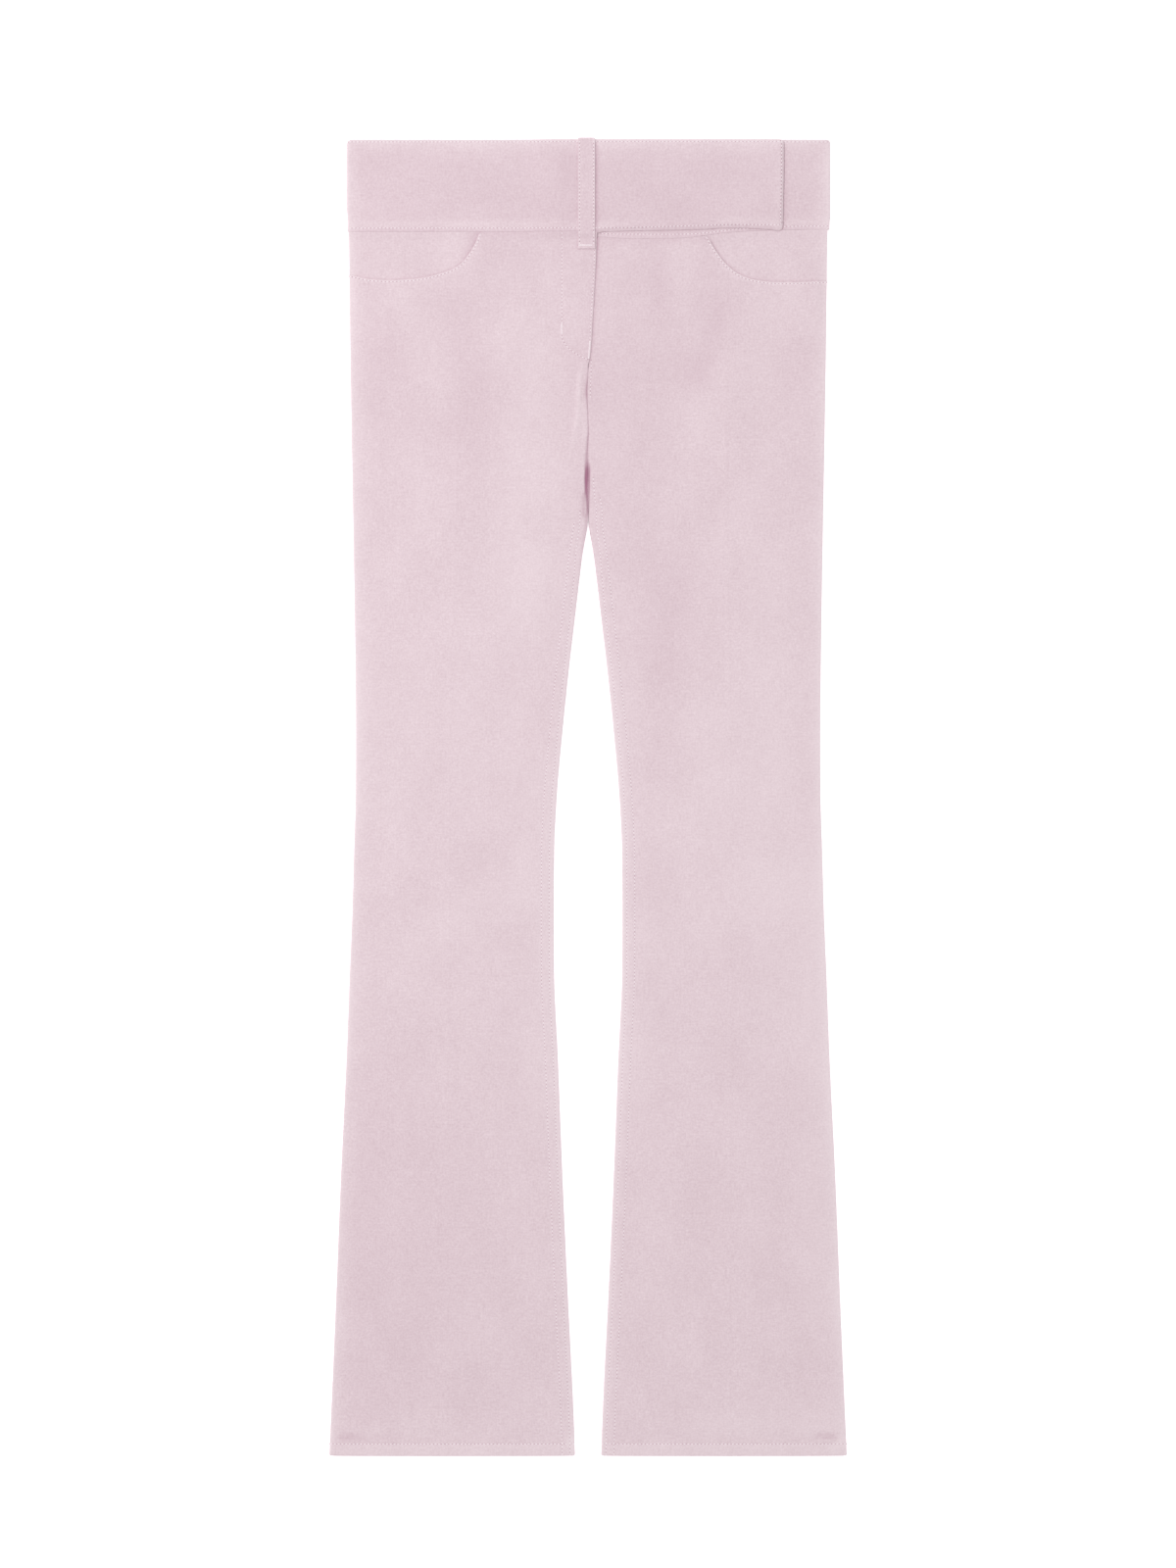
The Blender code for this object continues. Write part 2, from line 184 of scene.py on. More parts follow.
LEG = table("height outer inner crease_right crease_left", [
    (0, 216.5, 10.8, 117.9, 118.7), (37, 214.8, 12.1, 117.9, 118.7),
    (136, 210.6, 16.9, 117.9, 118.7), (234, 206.7, 21.3, 117.9, 118.7),
    (332, 202, 25.1, 117.2, 118.7), (406, 199.2, 28.3, 116.4, 118.7),
    (455, 197.2, 28.5, 116.3, 118.7), (504, 195.8, 28.2, 116.2, 118.7),
    (553, 194.4, 25.9, 116, 118.6), (602, 194.2, 21.6, 115.8, 118.3),
    (651, 194.6, 16.6, 115.2, 117.9), (701, 195.2, 10.8, 113.5, 117.2),
    (750, 196, 5, 111.7, 116.3), (785, 196.6, 0.3, 110.7, 116), (845, 197.7, 0.15, 109.2, 115.5),
    (921, 198.9, 0.15, 107.6, 115.2), (1023, 200.1, 0.15, 107, 115),
])
CROTCH = 785.0
CENTRE_GAP = 0.12               # the solids' two sides stand apart here, and the cloth is sewn together
BAND_SEAM = 1022.9
LEFT_SEAM_TOP = 1024.8
BACK_SLOPE_FROM = 150.0         # the left back's top edge slopes up from here to the left band's seam
BACK_SLOPE_TO = 202.0
SEAM_GAP = 0.02                 # sewn edges touch
HEM_CORNER = 1.6
BACK_CLOTH = 1.3                # one layer with its seam turnings
BACK_FOLD = 0.9                 # its side edges curl up, to meet the fronts
EDGE_STEPS = (0.0, 0.08, 0.3, 0.65, 1.2, 2.0, 3.2)
BACK_PITCH = 9.0
BACK_COLUMNS = 18
BACK_SHADE = 0.5                # painted shade on the backs where they show between the fronts
BACK_SHOWS = 12.0               # they do so this near the centre
HEM_STEPS = (0.0, 0.08, 0.3, 0.65, 1.2, 2.0, 3.2, 5.0, 7.0, 8.6, 9.4, 10.15, 10.9, 11.7, 13.0, 15.0)

# Cotton twill, woven from dyed yarns and brushed. It gives the eye a matt, even pink with a fine mottle
# from light and dark yarns and low slanting ribs; paler edges and folds are painted highlight.
TWILL_DARK = 0xD4BCC4
TWILL_LIGHT = 0xF0DEE4
# painted highlight, for paler edges and ridges
TWILL_PAINTED_HIGHLIGHT = 0xF7E9ED
TWILL_PAINTED_SHADE = 0xA6718A           # painted shade, in the lee of an edge, where the cloth is not lit
MOTTLE = 2.0                    # the size of the mottle, in mm, drawn twice as coarse as the yarns
PATCHES = 6.0
YARN_WIDTH, YARN_RUN = 0.5, 8.0
RIB_PITCH = 1.1                 # drawn twice as coarse as the cloth's ribs, which a camera can't resolve
RIB_ANGLE = math.radians(27)
CLOUDS = 38.0                   # the size of faint uneven patches


def smooth(rows, column, at):
    """A table's column at any values of its first one, by a cubic that never overshoots its rows."""
    first = np.array([row[0] for row in rows], float)
    values = np.array([getattr(row, column) for row in rows], float)
    slopes = np.diff(values) / np.diff(first)
    before, after = slopes[:-1], slopes[1:]
    same_way = before * after > 0
    middle = np.where(same_way, 2 * before * after / np.where(same_way, before + after, 1.0), 0.0)
    tangents = np.concatenate([slopes[:1], middle, slopes[-1:]])
    at = np.clip(at, first[0], first[-1])
    k = np.clip(np.searchsorted(first, at, side="right") - 1, 0, len(slopes) - 1)
    width = first[k + 1] - first[k]
    t = (at - first[k]) / width
    return (
        values[k] * (1 + 2 * t) * (1 - t) ** 2
        + values[k + 1] * t * t * (3 - 2 * t)
        + tangents[k] * width * t * (1 - t) ** 2
        - tangents[k + 1] * width * t * t * (1 - t)
    )


def ramp(start, end, at):
    """0 before start, 1 past end, and an even curve between. End may be the lower one."""
    t = np.clip((at - start) / (end - start), 0.0, 1.0)
    return t * t * (3 - 2 * t)


def arch(t):
    """A quarter circle's rise, from 0 at t = 0 to 1 from t = 1 on."""
    return np.sqrt(np.maximum(1 - (1 - np.clip(t, 0.0, 1.0)) ** 2, 0.0))


def corner_cut(distance, radius):
    """How far a rounded corner falls short of the edge, so far from its end."""
    return radius * (1 - arch(distance / radius))


def outer_edge(height):
    """The side seam."""
    return smooth(LEG, "outer", height) - corner_cut(height, HEM_CORNER)


def side_inset(across, height):
    """How far in from the side seam a point lies."""
    return np.maximum(outer_edge(height) - across, 0.0)


def seam_line(height):
    """The inseam, and above the crotch the centre seam."""
    closed = CENTRE_GAP * ramp(CROTCH - 25, CROTCH, height)
    return smooth(LEG, "inner", height) - closed + corner_cut(height, HEM_CORNER)


Column = namedtuple("Column", "start end share step")


def columns_from(line, steps):
    """Columns of a grid that keep their distances from one line of a panel."""
    return [Column(line, line, 0.0, step) for step in steps]


def columns_between(start, end, first_step, last_step, count):
    """Evenly spread columns, from so far past one line to so far past another."""
    shares = [(k + 1) / (count + 1) for k in range(count)]
    return [Column(start, end, s, first_step + s * (last_step - first_step)) for s in shares]


def lay_columns(columns, lines):
    """Where each column lies across. lines holds every line's own place at each point of the grid."""
    places = [
        lines[column.start][:, k] * (1 - column.share) + lines[column.end][:, k] * column.share + column.step
        for k, column in enumerate(columns)
    ]
    return np.stack(places, axis=1)


def near_outline(x, height, depth=12):
    """Each point's distance from the grid's own outline, right near it and large further in."""
    ring = np.concatenate([
        np.stack([x[0], height[0]], 1),
        np.stack([x[1:, -1], height[1:, -1]], 1),
        np.stack([x[-1, -2::-1], height[-1, -2::-1]], 1),
        np.stack([x[-2::-1, 0], height[-2::-1, 0]], 1),
    ])
    start, run = ring[:-1], np.diff(ring, axis=0)
    length = np.maximum((run**2).sum(1), 1e-12)
    distance = np.full(x.shape, 1e3)
    close = np.ones(x.shape, bool)
    close[depth:-depth, depth:-depth] = False
    points = np.stack([x[close], height[close]], 1)
    found = []
    for block in np.array_split(points, max(len(points) // 1500, 1)):
        away = block[:, None] - start
        along = np.clip((away * run).sum(2) / length, 0.0, 1.0)
        found.append(np.sqrt(((away - along[..., None] * run) ** 2).sum(2).min(1)))
    distance[close] = np.concatenate(found)
    return distance


def add(tree, kind, sockets=None, **settings):
    """Adds one node. sockets gives its inputs another node's output or a value."""
    made = tree.nodes.new(kind)
    for name, value in settings.items():
        setattr(made, name, value)
    for name, value in (sockets or {}).items():
        if isinstance(value, bpy.types.NodeSocket):
            tree.links.new(value, made.inputs[name])
        else:
            made.inputs[name].default_value = value
    return made


def maths(tree, operation, *values):
    """What a Math node makes of one to three values."""
    return add(tree, "ShaderNodeMath", dict(enumerate(values)), operation=operation).outputs[0]


def cotton_twill():
    """The cloth's material. Its UV map "cloth" holds metres along and across the warp."""
    material, shader = new_material("cotton_twill_woven_and_brushed", {
        "Roughness": 0.88,
        "Specular IOR Level": 0.25,
        "Sheen Weight": 0.12,
        "Sheen Roughness": 0.6,
        "Sheen Tint": (1.0, 0.93, 0.95, 1.0),
    })
    tree = material.node_tree
    cloth = add(tree, "ShaderNodeUVMap", uv_map="cloth").outputs["UV"]
    place = add(tree, "ShaderNodeMapping", {"Vector": cloth, "Scale": (1 / MM, 1 / MM, 1 / MM)}).outputs[0]

    def noise(size, detail=1.0, roughness=0.5):
        """A noise pattern whose features have this size in mm, along and across."""
        stretch = {"Vector": place, "Scale": (1 / size[0], 1 / size[1], 1.0)}
        stretched = add(tree, "ShaderNodeMapping", stretch).outputs[0]
        sockets = {"Vector": stretched, "Scale": 1.0, "Detail": detail, "Roughness": roughness}
        return add(tree, "ShaderNodeTexNoise", sockets).outputs["Fac"]

    def weigh(*parts):
        """The sum of some patterns, each about its middle and times its own weight."""
        total = 0.5
        for pattern, weight in parts:
            total = maths(tree, "MULTIPLY_ADD", maths(tree, "ADD", pattern, -0.5), weight, total)
        return total

    mottle = noise((MOTTLE, MOTTLE), detail=2.0, roughness=0.6)
    patches = noise((PATCHES, PATCHES * 1.3))
    warp = noise((YARN_WIDTH, YARN_RUN))
    weft = noise((YARN_RUN, YARN_WIDTH))
    clouds = noise((CLOUDS, CLOUDS * 1.6), detail=2.0)
    across_ribs = (math.cos(RIB_ANGLE), -math.sin(RIB_ANGLE), 0.0)
    rib_run = add(tree, "ShaderNodeVectorMath", {0: place, 1: across_ribs}, operation="DOT_PRODUCT")
    wander = weigh((mottle, 1.6))
    phase = maths(tree, "MULTIPLY_ADD", rib_run.outputs["Value"], 2 * math.pi / RIB_PITCH, wander)
    rib = maths(tree, "MULTIPLY_ADD", maths(tree, "SINE", phase), 0.5, 0.5)

    yarns = ((mottle, 1.0), (warp, 0.42), (weft, 0.38), (rib, 0.12))
    shade = weigh(*yarns, (patches, 0.25), (clouds, 0.4))
    # A painted highlight above 0, and painted shade below 0, from the cloth's own attribute
    painted_shading = add(tree, "ShaderNodeAttribute", attribute_name="painted_shading").outputs["Fac"]
    painted_shade = maths(tree, "MULTIPLY", painted_shading, -1.0)
    face = colour(TWILL_DARK)
    for amount, towards in ((shade, TWILL_LIGHT), (painted_shading, TWILL_PAINTED_HIGHLIGHT), (painted_shade, TWILL_PAINTED_SHADE)):
        blend = {"Factor": amount, 6: face, 7: colour(towards)}     # 6 and 7 are the node's two colours
        face = add(tree, "ShaderNodeMix", blend, data_type="RGBA").outputs[2]
    tree.links.new(face, shader.inputs["Base Color"])

    weave = weigh((rib, 0.5), (warp, 0.6), (weft, 0.6), (mottle, 0.8))
    bump = add(tree, "ShaderNodeBump", {"Height": weave, "Strength": 0.5, "Distance": 0.16 * MM})
    tree.links.new(bump.outputs[0], shader.inputs["Normal"])
    return material


twill = cotton_twill()


def cloth_shell(name, upper, lower, cloth, painted_shading):
    """A closed shell of cloth between two grids of points that share their outline.

    cloth holds each point's place on the flat cloth, across and along the warp, for the weave. The last
    argument is how much painted highlight pales the cloth, or below 0 how much painted shade darkens it."""
    shape = upper.shape[:2]
    on_edge = np.zeros(shape, bool)
    on_edge[[0, -1], :] = True
    on_edge[:, [0, -1]] = True
    upper_index = np.arange(on_edge.size).reshape(shape)
    lower_index = upper_index.copy()
    lower_index[~on_edge] = on_edge.size + np.arange((~on_edge).sum())

    def faces(index):
        corners = (index[:-1, :-1], index[:-1, 1:], index[1:, 1:], index[1:, :-1])
        return np.stack(corners, -1).reshape(-1, 4)

    def with_lower(both, under):
        return np.concatenate([both.reshape(on_edge.size, -1), under[~on_edge].reshape(-1, both[0, 0].size)])

    upper_faces, lower_faces = faces(upper_index), faces(lower_index)[:, ::-1]
    across, along = upper[1:, 1:] - upper[:-1, :-1], upper[1:, :-1] - upper[:-1, 1:]
    if (across[..., 0] * along[..., 1] - across[..., 1] * along[..., 0]).sum() < 0:
        upper_faces, lower_faces = upper_faces[:, ::-1], lower_faces[:, ::-1]
    places = with_lower(upper, lower) + (0.0, HEM_Y, 0.0)
    mesh = bpy.data.meshes.new(name)
    mesh.from_pydata(places * MM, [], np.concatenate([upper_faces, lower_faces]).tolist())

    on_cloth = np.stack(cloth, -1) * MM
    corner_vertex = np.empty(len(mesh.loops), np.int32)
    mesh.loops.foreach_get("vertex_index", corner_vertex)
    at_corners = with_lower(on_cloth, on_cloth)[corner_vertex].ravel()
    mesh.uv_layers.new(name="cloth").data.foreach_set("uv", at_corners)
    painted_values = with_lower(painted_shading, np.minimum(painted_shading, 0.0)).ravel()
    mesh.attributes.new("painted_shading", "FLOAT", "POINT").data.foreach_set("value", painted_values)
    mesh.shade_smooth()
    mesh.materials.append(twill)
    mesh.validate()
    piece = bpy.data.objects.new(name, mesh)
    bpy.context.scene.collection.objects.link(piece)
    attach(piece, "root")
    return piece


def cloth_piece(name, x, height, top, thick, fold, painted_shading=None, cloth=None):
    """A flat-lying piece of cloth through a grid of points whose rows run up the garment.

    Its outline is a folded edge: the upper and the lower face round over and meet at a share of the
    thickness, fold, above the lower one."""
    inset = near_outline(x, height)
    above, below = thick * (1 - fold), thick * fold
    upper = top - above * (1 - arch(inset / np.maximum(above, 0.05)))
    lower = top - thick + below * (1 - arch(inset / np.maximum(below, 0.05)))
    painted_shading = np.zeros(x.shape) if painted_shading is None else painted_shading
    upper, lower = (np.stack([x, height, face], -1) for face in (upper, lower))
    return cloth_shell(name, upper, lower, cloth or (x, height), painted_shading)


def back_top_edge(x):
    """The backs' upper edge, just below the waist seam."""
    slope = np.maximum(x - BACK_SLOPE_FROM, 0.0) / (BACK_SLOPE_TO - BACK_SLOPE_FROM)
    return BAND_SEAM + (LEFT_SEAM_TOP - BAND_SEAM) * slope - SEAM_GAP


INWARD_STEPS = [-step for step in reversed(EDGE_STEPS)]

for side_name, sign in (("right", -1), ("left", 1)):
    columns = columns_from("inner", EDGE_STEPS)
    columns += columns_between("inner", "outer", EDGE_STEPS[-1], INWARD_STEPS[0], BACK_COLUMNS)
    columns += columns_from("outer", INWARD_STEPS)
    leg_rows = np.arange(HEM_STEPS[-1] + BACK_PITCH, BAND_SEAM - BACK_PITCH, BACK_PITCH)
    rows = np.concatenate([HEM_STEPS, leg_rows, BAND_SEAM + np.array(INWARD_STEPS)])
    height = np.repeat(rows[:, None], len(columns), 1)
    across = lay_columns(columns, {"inner": seam_line(height), "outer": outer_edge(height)})
    near_top = ramp(BAND_SEAM - 2 * BACK_PITCH, BAND_SEAM, height)
    height = height + near_top * (back_top_edge(sign * across) - BAND_SEAM)
    x = sign * across
    top = np.full(height.shape, BACK_CLOTH)
    fold = BACK_FOLD + (0.5 - BACK_FOLD) * np.maximum(ramp(6.0, 0.0, height), near_top)
    # Painted shade where the backs show between the fronts at the crotch.
    at_crotch = ramp(BACK_SHOWS, BACK_SHOWS / 2, across) * ramp(CROTCH - 40, CROTCH - 10, height)
    name = "back_leg_" + side_name
    back = cloth_piece(name + "_cloth", x, height, top, BACK_CLOTH, fold, -BACK_SHADE * at_crotch)
    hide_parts(name)


# ---------------------------------------------------------------------------------------------
# Pocket facings. The cloth that shows inside each scooped front pocket: a piece of the same twill, sewn
# into the waist seam and the side seam, that runs on down behind the pocket's mouth.

RIGHT_MOUTH = table("across height", [
    (90.5, 1022.6), (94.4, 1012.8), (99.3, 1004.8), (104.9, 997.6), (111, 993), (122, 988.6),
    (134, 985.4), (147.3, 983.4), (163.7, 982.6), (180, 983.2), (199.2, 987.1),
])
LEFT_MOUTH = table("across height", [
    (99.6, 1019.6), (107, 1006.8), (116.2, 995.3), (126.9, 987.1), (139.1, 983), (155.5, 981),
    (176, 981), (199.2, 982.2),
])
RIGHT_SEAM = table("x height", [(-210, BAND_SEAM), (210, BAND_SEAM)])
LEFT_SEAM = table("x height", [
    (9, 1018.6), (33, 1017.1), (70, 1017.3), (86, 1018.2), (100, 1019.8), (111, 1021.4),
    (127, 1022.8), (165, 1024.4), (202, LEFT_SEAM_TOP),
])
# How dark the painted shadow inside a pocket's mouth is, and how far in it reaches.
RIGHT_SHADE = table("height depth reach", [
    (980, 0.12, 1.2), (996, 0.2, 1.5), (1005, 0.42, 3.2), (1020, 0.5, 6.5),
])
LEFT_SHADE = table("height depth reach", [
    (980, 0.2, 1.2), (992, 0.3, 1.3), (1000, 0.45, 1.3), (1020, 0.4, 1.1),
])
Side = namedtuple("Side", "name sign crease mouth seam shade")
RIGHT = Side("right", -1, "crease_right", RIGHT_MOUTH, RIGHT_SEAM, RIGHT_SHADE)
LEFT = Side("left", 1, "crease_left", LEFT_MOUTH, LEFT_SEAM, LEFT_SHADE)

FRONT_REST = 2.7                # the upper face of what lies on the backs, at its edges
ROLL_RISE, ROLL_REACH = 0.3, 2.5
FACING_CLOTH = 1.1
FACING_LOFT = 0.9
LOFT_REACH = 18.0
FACING_UNDERLAP = 12.0
FACING_CLEAR = 8.0
FACING_FOOT_GAP = 0.05
FACING_COLUMNS, FACING_ROWS = 38, 26
SEAM_FOLD = 0.93                # a sewn edge hardly rounds over
# painted shadow beside a raised edge: how dark, and how far it reaches
PAINTED_SHADOW, PAINTED_SHADOW_REACH = 0.5, 1.9
EDGE_HIGHLIGHT, EDGE_HIGHLIGHT_REACH = 0.5, 4.5       # painted highlight along edges: how much paler, and how far in
BAND_CLOTH = 2.4
FRONT_BAND_UNDER = 2.7          # the underside of the front waistbands
WAIST_CLIMB = 9.0               # the cloth climbs to the band's upper face this near the waist seam


def roll(inside):
    """The rounded rise of cloth over a seam, from 0 at the seam to 1."""
    return arch(inside / ROLL_REACH)


def fill(inside):
    """How full the cloth stands, from 0 at an edge to 1 far inside."""
    return 1 - np.exp(-inside / LOFT_REACH)


def edge_highlight(distance):
    """How much a painted highlight pales the cloth, so far from a free edge or a pressed seam."""
    return EDGE_HIGHLIGHT * np.exp(-distance / EDGE_HIGHLIGHT_REACH)


def painted_shadow(distance, reach=PAINTED_SHADOW_REACH):
    """How much painted shadow darkens the cloth beside an edge that stands over it."""
    return PAINTED_SHADOW * np.exp(-((np.abs(distance) / reach) ** 1.5))


def waist_seam(side, across):
    """The height of the seam at the front waistband."""
    return smooth(side.seam, "height", side.sign * across)


def mouth_edge(side, across):
    """The height of the pocket's mouth."""
    return smooth(side.mouth, "height", across)


def mouth_slope(side, across):
    """How steeply the pocket's mouth rises, over one millimetre about here."""
    return mouth_edge(side, across + 0.5) - mouth_edge(side, across - 0.5)


def mouth_gap(side, across, height):
    """About the shortest way from a point below the pocket's mouth to its edge."""
    below = mouth_edge(side, across) - height
    return below / np.hypot(1.0, mouth_slope(side, across))


def climb_to_band(side, across, height, top, band_face=FRONT_BAND_UNDER + BAND_CLOTH):
    """Lifts the upper face of a piece to the waistband's, where they are sewn together."""
    below = waist_seam(side, across) - height
    return top + ramp(WAIST_CLIMB, 0.0, below) * (band_face - top)


def facing_top(side, across, height):
    """The upper face of a pocket facing."""
    inside = side_inset(across, height)
    top = FRONT_REST + ROLL_RISE * roll(inside) + FACING_LOFT * fill(inside)
    return climb_to_band(side, across, height, top)


for side in (RIGHT, LEFT):
    corner, end = side.mouth[0].across, float(outer_edge(side.mouth[-1].height))
    columns = np.concatenate([
        corner - FACING_UNDERLAP + np.array(EDGE_STEPS),
        np.linspace(corner - FACING_UNDERLAP + 5, end - FACING_CLEAR - 1, FACING_COLUMNS),
        end - FACING_CLEAR + np.array([0.5, 2.2]),
        end - np.array(EDGE_STEPS)[::-1],
    ])
    middle_shares = np.linspace(0.05, 0.95, FACING_ROWS)
    shares = np.concatenate([[0, 0.004, 0.012, 0.03], middle_shares, [0.97, 0.988, 0.996, 1]])
    across = np.repeat(columns[None], len(shares), 0)
    underlap = np.where(end - across > FACING_CLEAR, FACING_UNDERLAP, -FACING_FOOT_GAP)
    foot = mouth_edge(side, across) - underlap
    head = waist_seam(side, across) - SEAM_GAP
    height = foot + shares[:, None] * (head - foot)
    across = np.where(end - across < FACING_CLEAR, across + outer_edge(height) - end, across)
    top = facing_top(side, across, height)
    at_side = ramp(20.0, 6.0, end - across)
    seamed = np.maximum(ramp(6.0, 2.0, head - height), at_side * ramp(6.0, 2.0, height - foot))
    fold = 0.5 - 0.4 * at_side
    fold += (SEAM_FOLD - fold) * seamed
    # Painted highlight along the side edge, and painted shadow inside the pocket's mouth.
    painted_shading = edge_highlight(side_inset(across, height))
    depth, reach = (smooth(side.shade, what, height) for what in ("depth", "reach"))
    painted_shading -= depth * painted_shadow(mouth_gap(side, across, height), reach)
    name = "pocket_facing_" + side.name
    x = side.sign * across
    facing = cloth_piece(name + "_cloth", x, height, top, FACING_CLOTH, fold, painted_shading)
    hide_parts(name)


# ---------------------------------------------------------------------------------------------
# Front legs. Each is one panel from the waist seam to the hem, with a pressed crease down its middle,
# a hem turned up twice, and a scoop cut out for the pocket. The right one laps over the left at the fly.

FLY_FOOT = 911.0
# How far the cloth dips into the centre seam on either side, and how deep.
# The depth also paints shade into the hollow.
CENTRE_HOLLOW = table("height right left depth", [
    (735, 1.5, 0, 0), (770, 2.4, 0, 0.1), (784, 2.2, 0.1, 0.25), (790, 1, 0.5, 0.6),
    (800, 1.4, 0.9, 0.75), (808, 2.5, 1.2, 0.88), (816, 2.7, 1.4, 0.95), (824, 2.1, 1.7, 0.92),
    (829, 1.8, 1.4, 0.62), (833, 1.3, 1, 0.43), (838, 1.2, 0.9, 0.38), (845, 0.9, 0.5, 0.38),
    (852, 0.5, 0.4, 0.45), (860, 0.2, 0.4, 0.3), (872, 0.3, 0.2, 0.26), (880, 0.5, 0.1, 0.34),
    (885, 0.9, 0.1, 0.42), (890, 1, 0.1, 0.46), (896, 0.9, 0.1, 0.42), (902, 0.7, 0.1, 0.2),
    (FLY_FOOT, 0.5, 0.1, 0.02),
])
HOLLOW_DROP = 1.0
LEFT_SIDE_DEPTH = 0.8           # the left side of the hollow faces the window
# How far the centre seam wanders off its line.
CENTRE_SWAY = table("height shift", [
    (768, 0), (786, 0.3), (800, 0.1), (826, -0.2), (835, -0.7), (845, -0.1), (857, 0.3),
    (872, -0.15), (889, -0.75), (903, -0.1), (915, 0.1), (940, 0),
])
SWAY_REACH = 14.0
FLY = table("height edge under", [
    (FLY_FOOT, -0.15, 0.15), (918, 1.7, 0.15), (926, 2.7, 0), (935, 3.4, -8), (950, 4.2, -8),
    (965, 5.1, -8), (985, 6.2, -8), (1004, 7.1, -8), (BAND_SEAM, 7.6, -8),
])
FRONT_CLOTH = 1.3
FRONT_FOLD = 0.1                # its side edges curl down, to meet the backs
HEM_CLOTH = 1.8                 # the panel and its hem turned up twice
HEM_ROW = 10.15
FLY_CLOTH = 1.0
FULL_LOFT = 1.8                 # how much more a leg stands up in its middle
CENTRE_FILL = 60.0
MOUTH_LIFT, MOUTH_NEAR, MOUTH_FAR = 1.2, 18.0, 45.0
MOUTH_CLOTH = 0.95
LAP, LAP_SOFT = 0.52, 902.0
LAP_FAR, LAP_NEAR = 45.0, 12.0
UNDERLAP_FAR, UNDERLAP_NEAR = 22.0, 6.0
TAB_RISE, TAB_RISE_FROM, TAB_RISE_TO = 2.7, -60.0, -22.0

CREASE_SWELL, CREASE_SWELL_REACH = 0.3, 24.0
CREASE_LINE, CREASE_LINE_REACH = 0.17, 1.2
CREASE_SOFT, CREASE_FULL = 985.0, 865.0

# The two rows of topstitching, in from the inseam and the centre seam.
INSEAM_ROWS = table("height first second", [
    (0, 4.1, 10.6), (690, 4.1, 10.6), (730, 4.7, 10.8), (769, 6.4, 11.3), (788, 6.7, 11.4),
    (803, 5.3, 9.6), (818, 4.2, 7.7),
])
INSEAM_ENDS = {"right": (788.0, 777.0), "left": (816.0, 799.0)}
SEAM_RIDGE = 0.16               # the seam turnings under them
GROOVE, GROOVE_WIDTH = 0.14, 0.8
HEM_RIDGE = 0.3
MOUTH_ROW = 1.5
FLY_ROW = 1.7
FLY_STITCH = 21.9               # how far across the curved fly stitch runs
FLY_BEND = 938.0                # and from where down it curves to the centre
FOLD_SHADING = 0.35                     # ridges are painted paler and troughs darker, as light and shade fall on them

FOLDS = table("x_from height_from x_to height_to rise reach", [
    (-4.2, 911, -6.4, 903, 0.3, 1.9),           # a ridge beside the centre seam
    (-6.4, 903, -6.7, 888, 0.6, 1.9),
    (-6.7, 888, -9.4, 862, 0.6, 2.1),
    (-9.4, 862, -11.6, 848, 0.3, 2.4),
    (-52, 925, -48, 715, 0.5, 34),              # fullness of the right thigh
    (66, 730, 62, 580, -0.25, 30),              # hollow inside the left thigh
    (170, 972, 186, 944, 0.3, 9),               # drag below the left pocket
    (150, 960, 130, 900, 0.25, 20),
    (80, 1005, 86, 935, 0.25, 13),              # drag from the left waist seam
    (-150, 965, -120, 890, 0.25, 24),
    (-60, 470, -150, 430, 0.25, 26),            # slack behind the knees
    (150, 480, 70, 440, 0.25, 26),
    (-206, 15, -190, 16.5, -0.3, 2.6),          # puckers above the hems' outer ends
    (-196, 19, -170, 22, 0.2, 4),
    (206, 15, 192, 17, -0.3, 2.6),
    (196, 19, 176, 22, 0.2, 4),
    (100, 1017, 108, 1015, -0.3, 2.2),          # crinkle at the left pocket's corner
    (60, 1005, 58, 965, -0.14, 7),
    (112, 960, 96, 905, -0.14, 9),
])

# Large faint areas of painted light and shade, paler or darker.
PAINTED_PATCHES = table("x_from height_from x_to height_to rise reach", [
    (-150, 932, -40, 912, -0.1, 64),
    (-80, 865, -44, 795, -0.085, 44),
    (36, 985, 34, 785, -0.05, 34),
    (88, 992, 86, 905, -0.11, 19),
    (125, 955, 180, 900, -0.06, 32),
    (163, 972, 195, 948, -0.05, 17),
    (95, 600, 105, 530, 0.13, 48),
    (194, 480, 206, 130, 0.14, 27),
    (155, 720, 166, 375, 0.11, 30),
    (30, 655, 27, 520, 0.08, 14),
    (-44, 560, -38, 280, 0.11, 20),
    (-180, 650, -175, 560, 0.09, 32),
    (-100, 630, -105, 575, 0.07, 42),
    (42, 440, 38, 300, 0.08, 22),
    (-195, 290, -185, 30, -0.06, 55),
    (-110, 200, -110, 60, -0.03, 60),
    (95, 26, 205, 26, 0.14, 14),
    (-150, 24, -120, 24, 0.09, 13),
    (207, 16.5, 192, 17.5, -0.24, 2.3),         # the puckers above the hems' outer ends
    (-208, 16, -196, 17.5, -0.08, 2.2),
    (210, 10, 206, 6, 0.2, 5),
    (-14, 13, -12, 6, 0.2, 4.5),
    (-3.6, 804, -4, 786, -0.25, 1.6),           # the right leg's inner fold, under the hollow
    (-4.2, 878, -3.6, 852, 0.12, 3),
    (-75, 1006, -30, 1006, -0.045, 15),
])
WAIST_SHADE = 0.07              # painted shade just below the waist seam
# Painted highlights on the hem below its row of stitches and along the pocket's mouth.
HEM_HIGHLIGHT = 0.2
MOUTH_HIGHLIGHT, MOUTH_HIGHLIGHT_REACH = 0.3, 2.2
FLY_SHADOW, FLY_SHADOW_REACH = 0.4, 1.3       # painted shadow in the lee of the fly, darker higher up
FLY_SHADOW_FROM, FLY_SHADOW_FULL = 978.0, 1012.0


def sway(x, height):
    """Carries points near the centre with the wandering seam."""
    return x + smooth(CENTRE_SWAY, "shift", height) * np.exp(-((x / SWAY_REACH) ** 2))


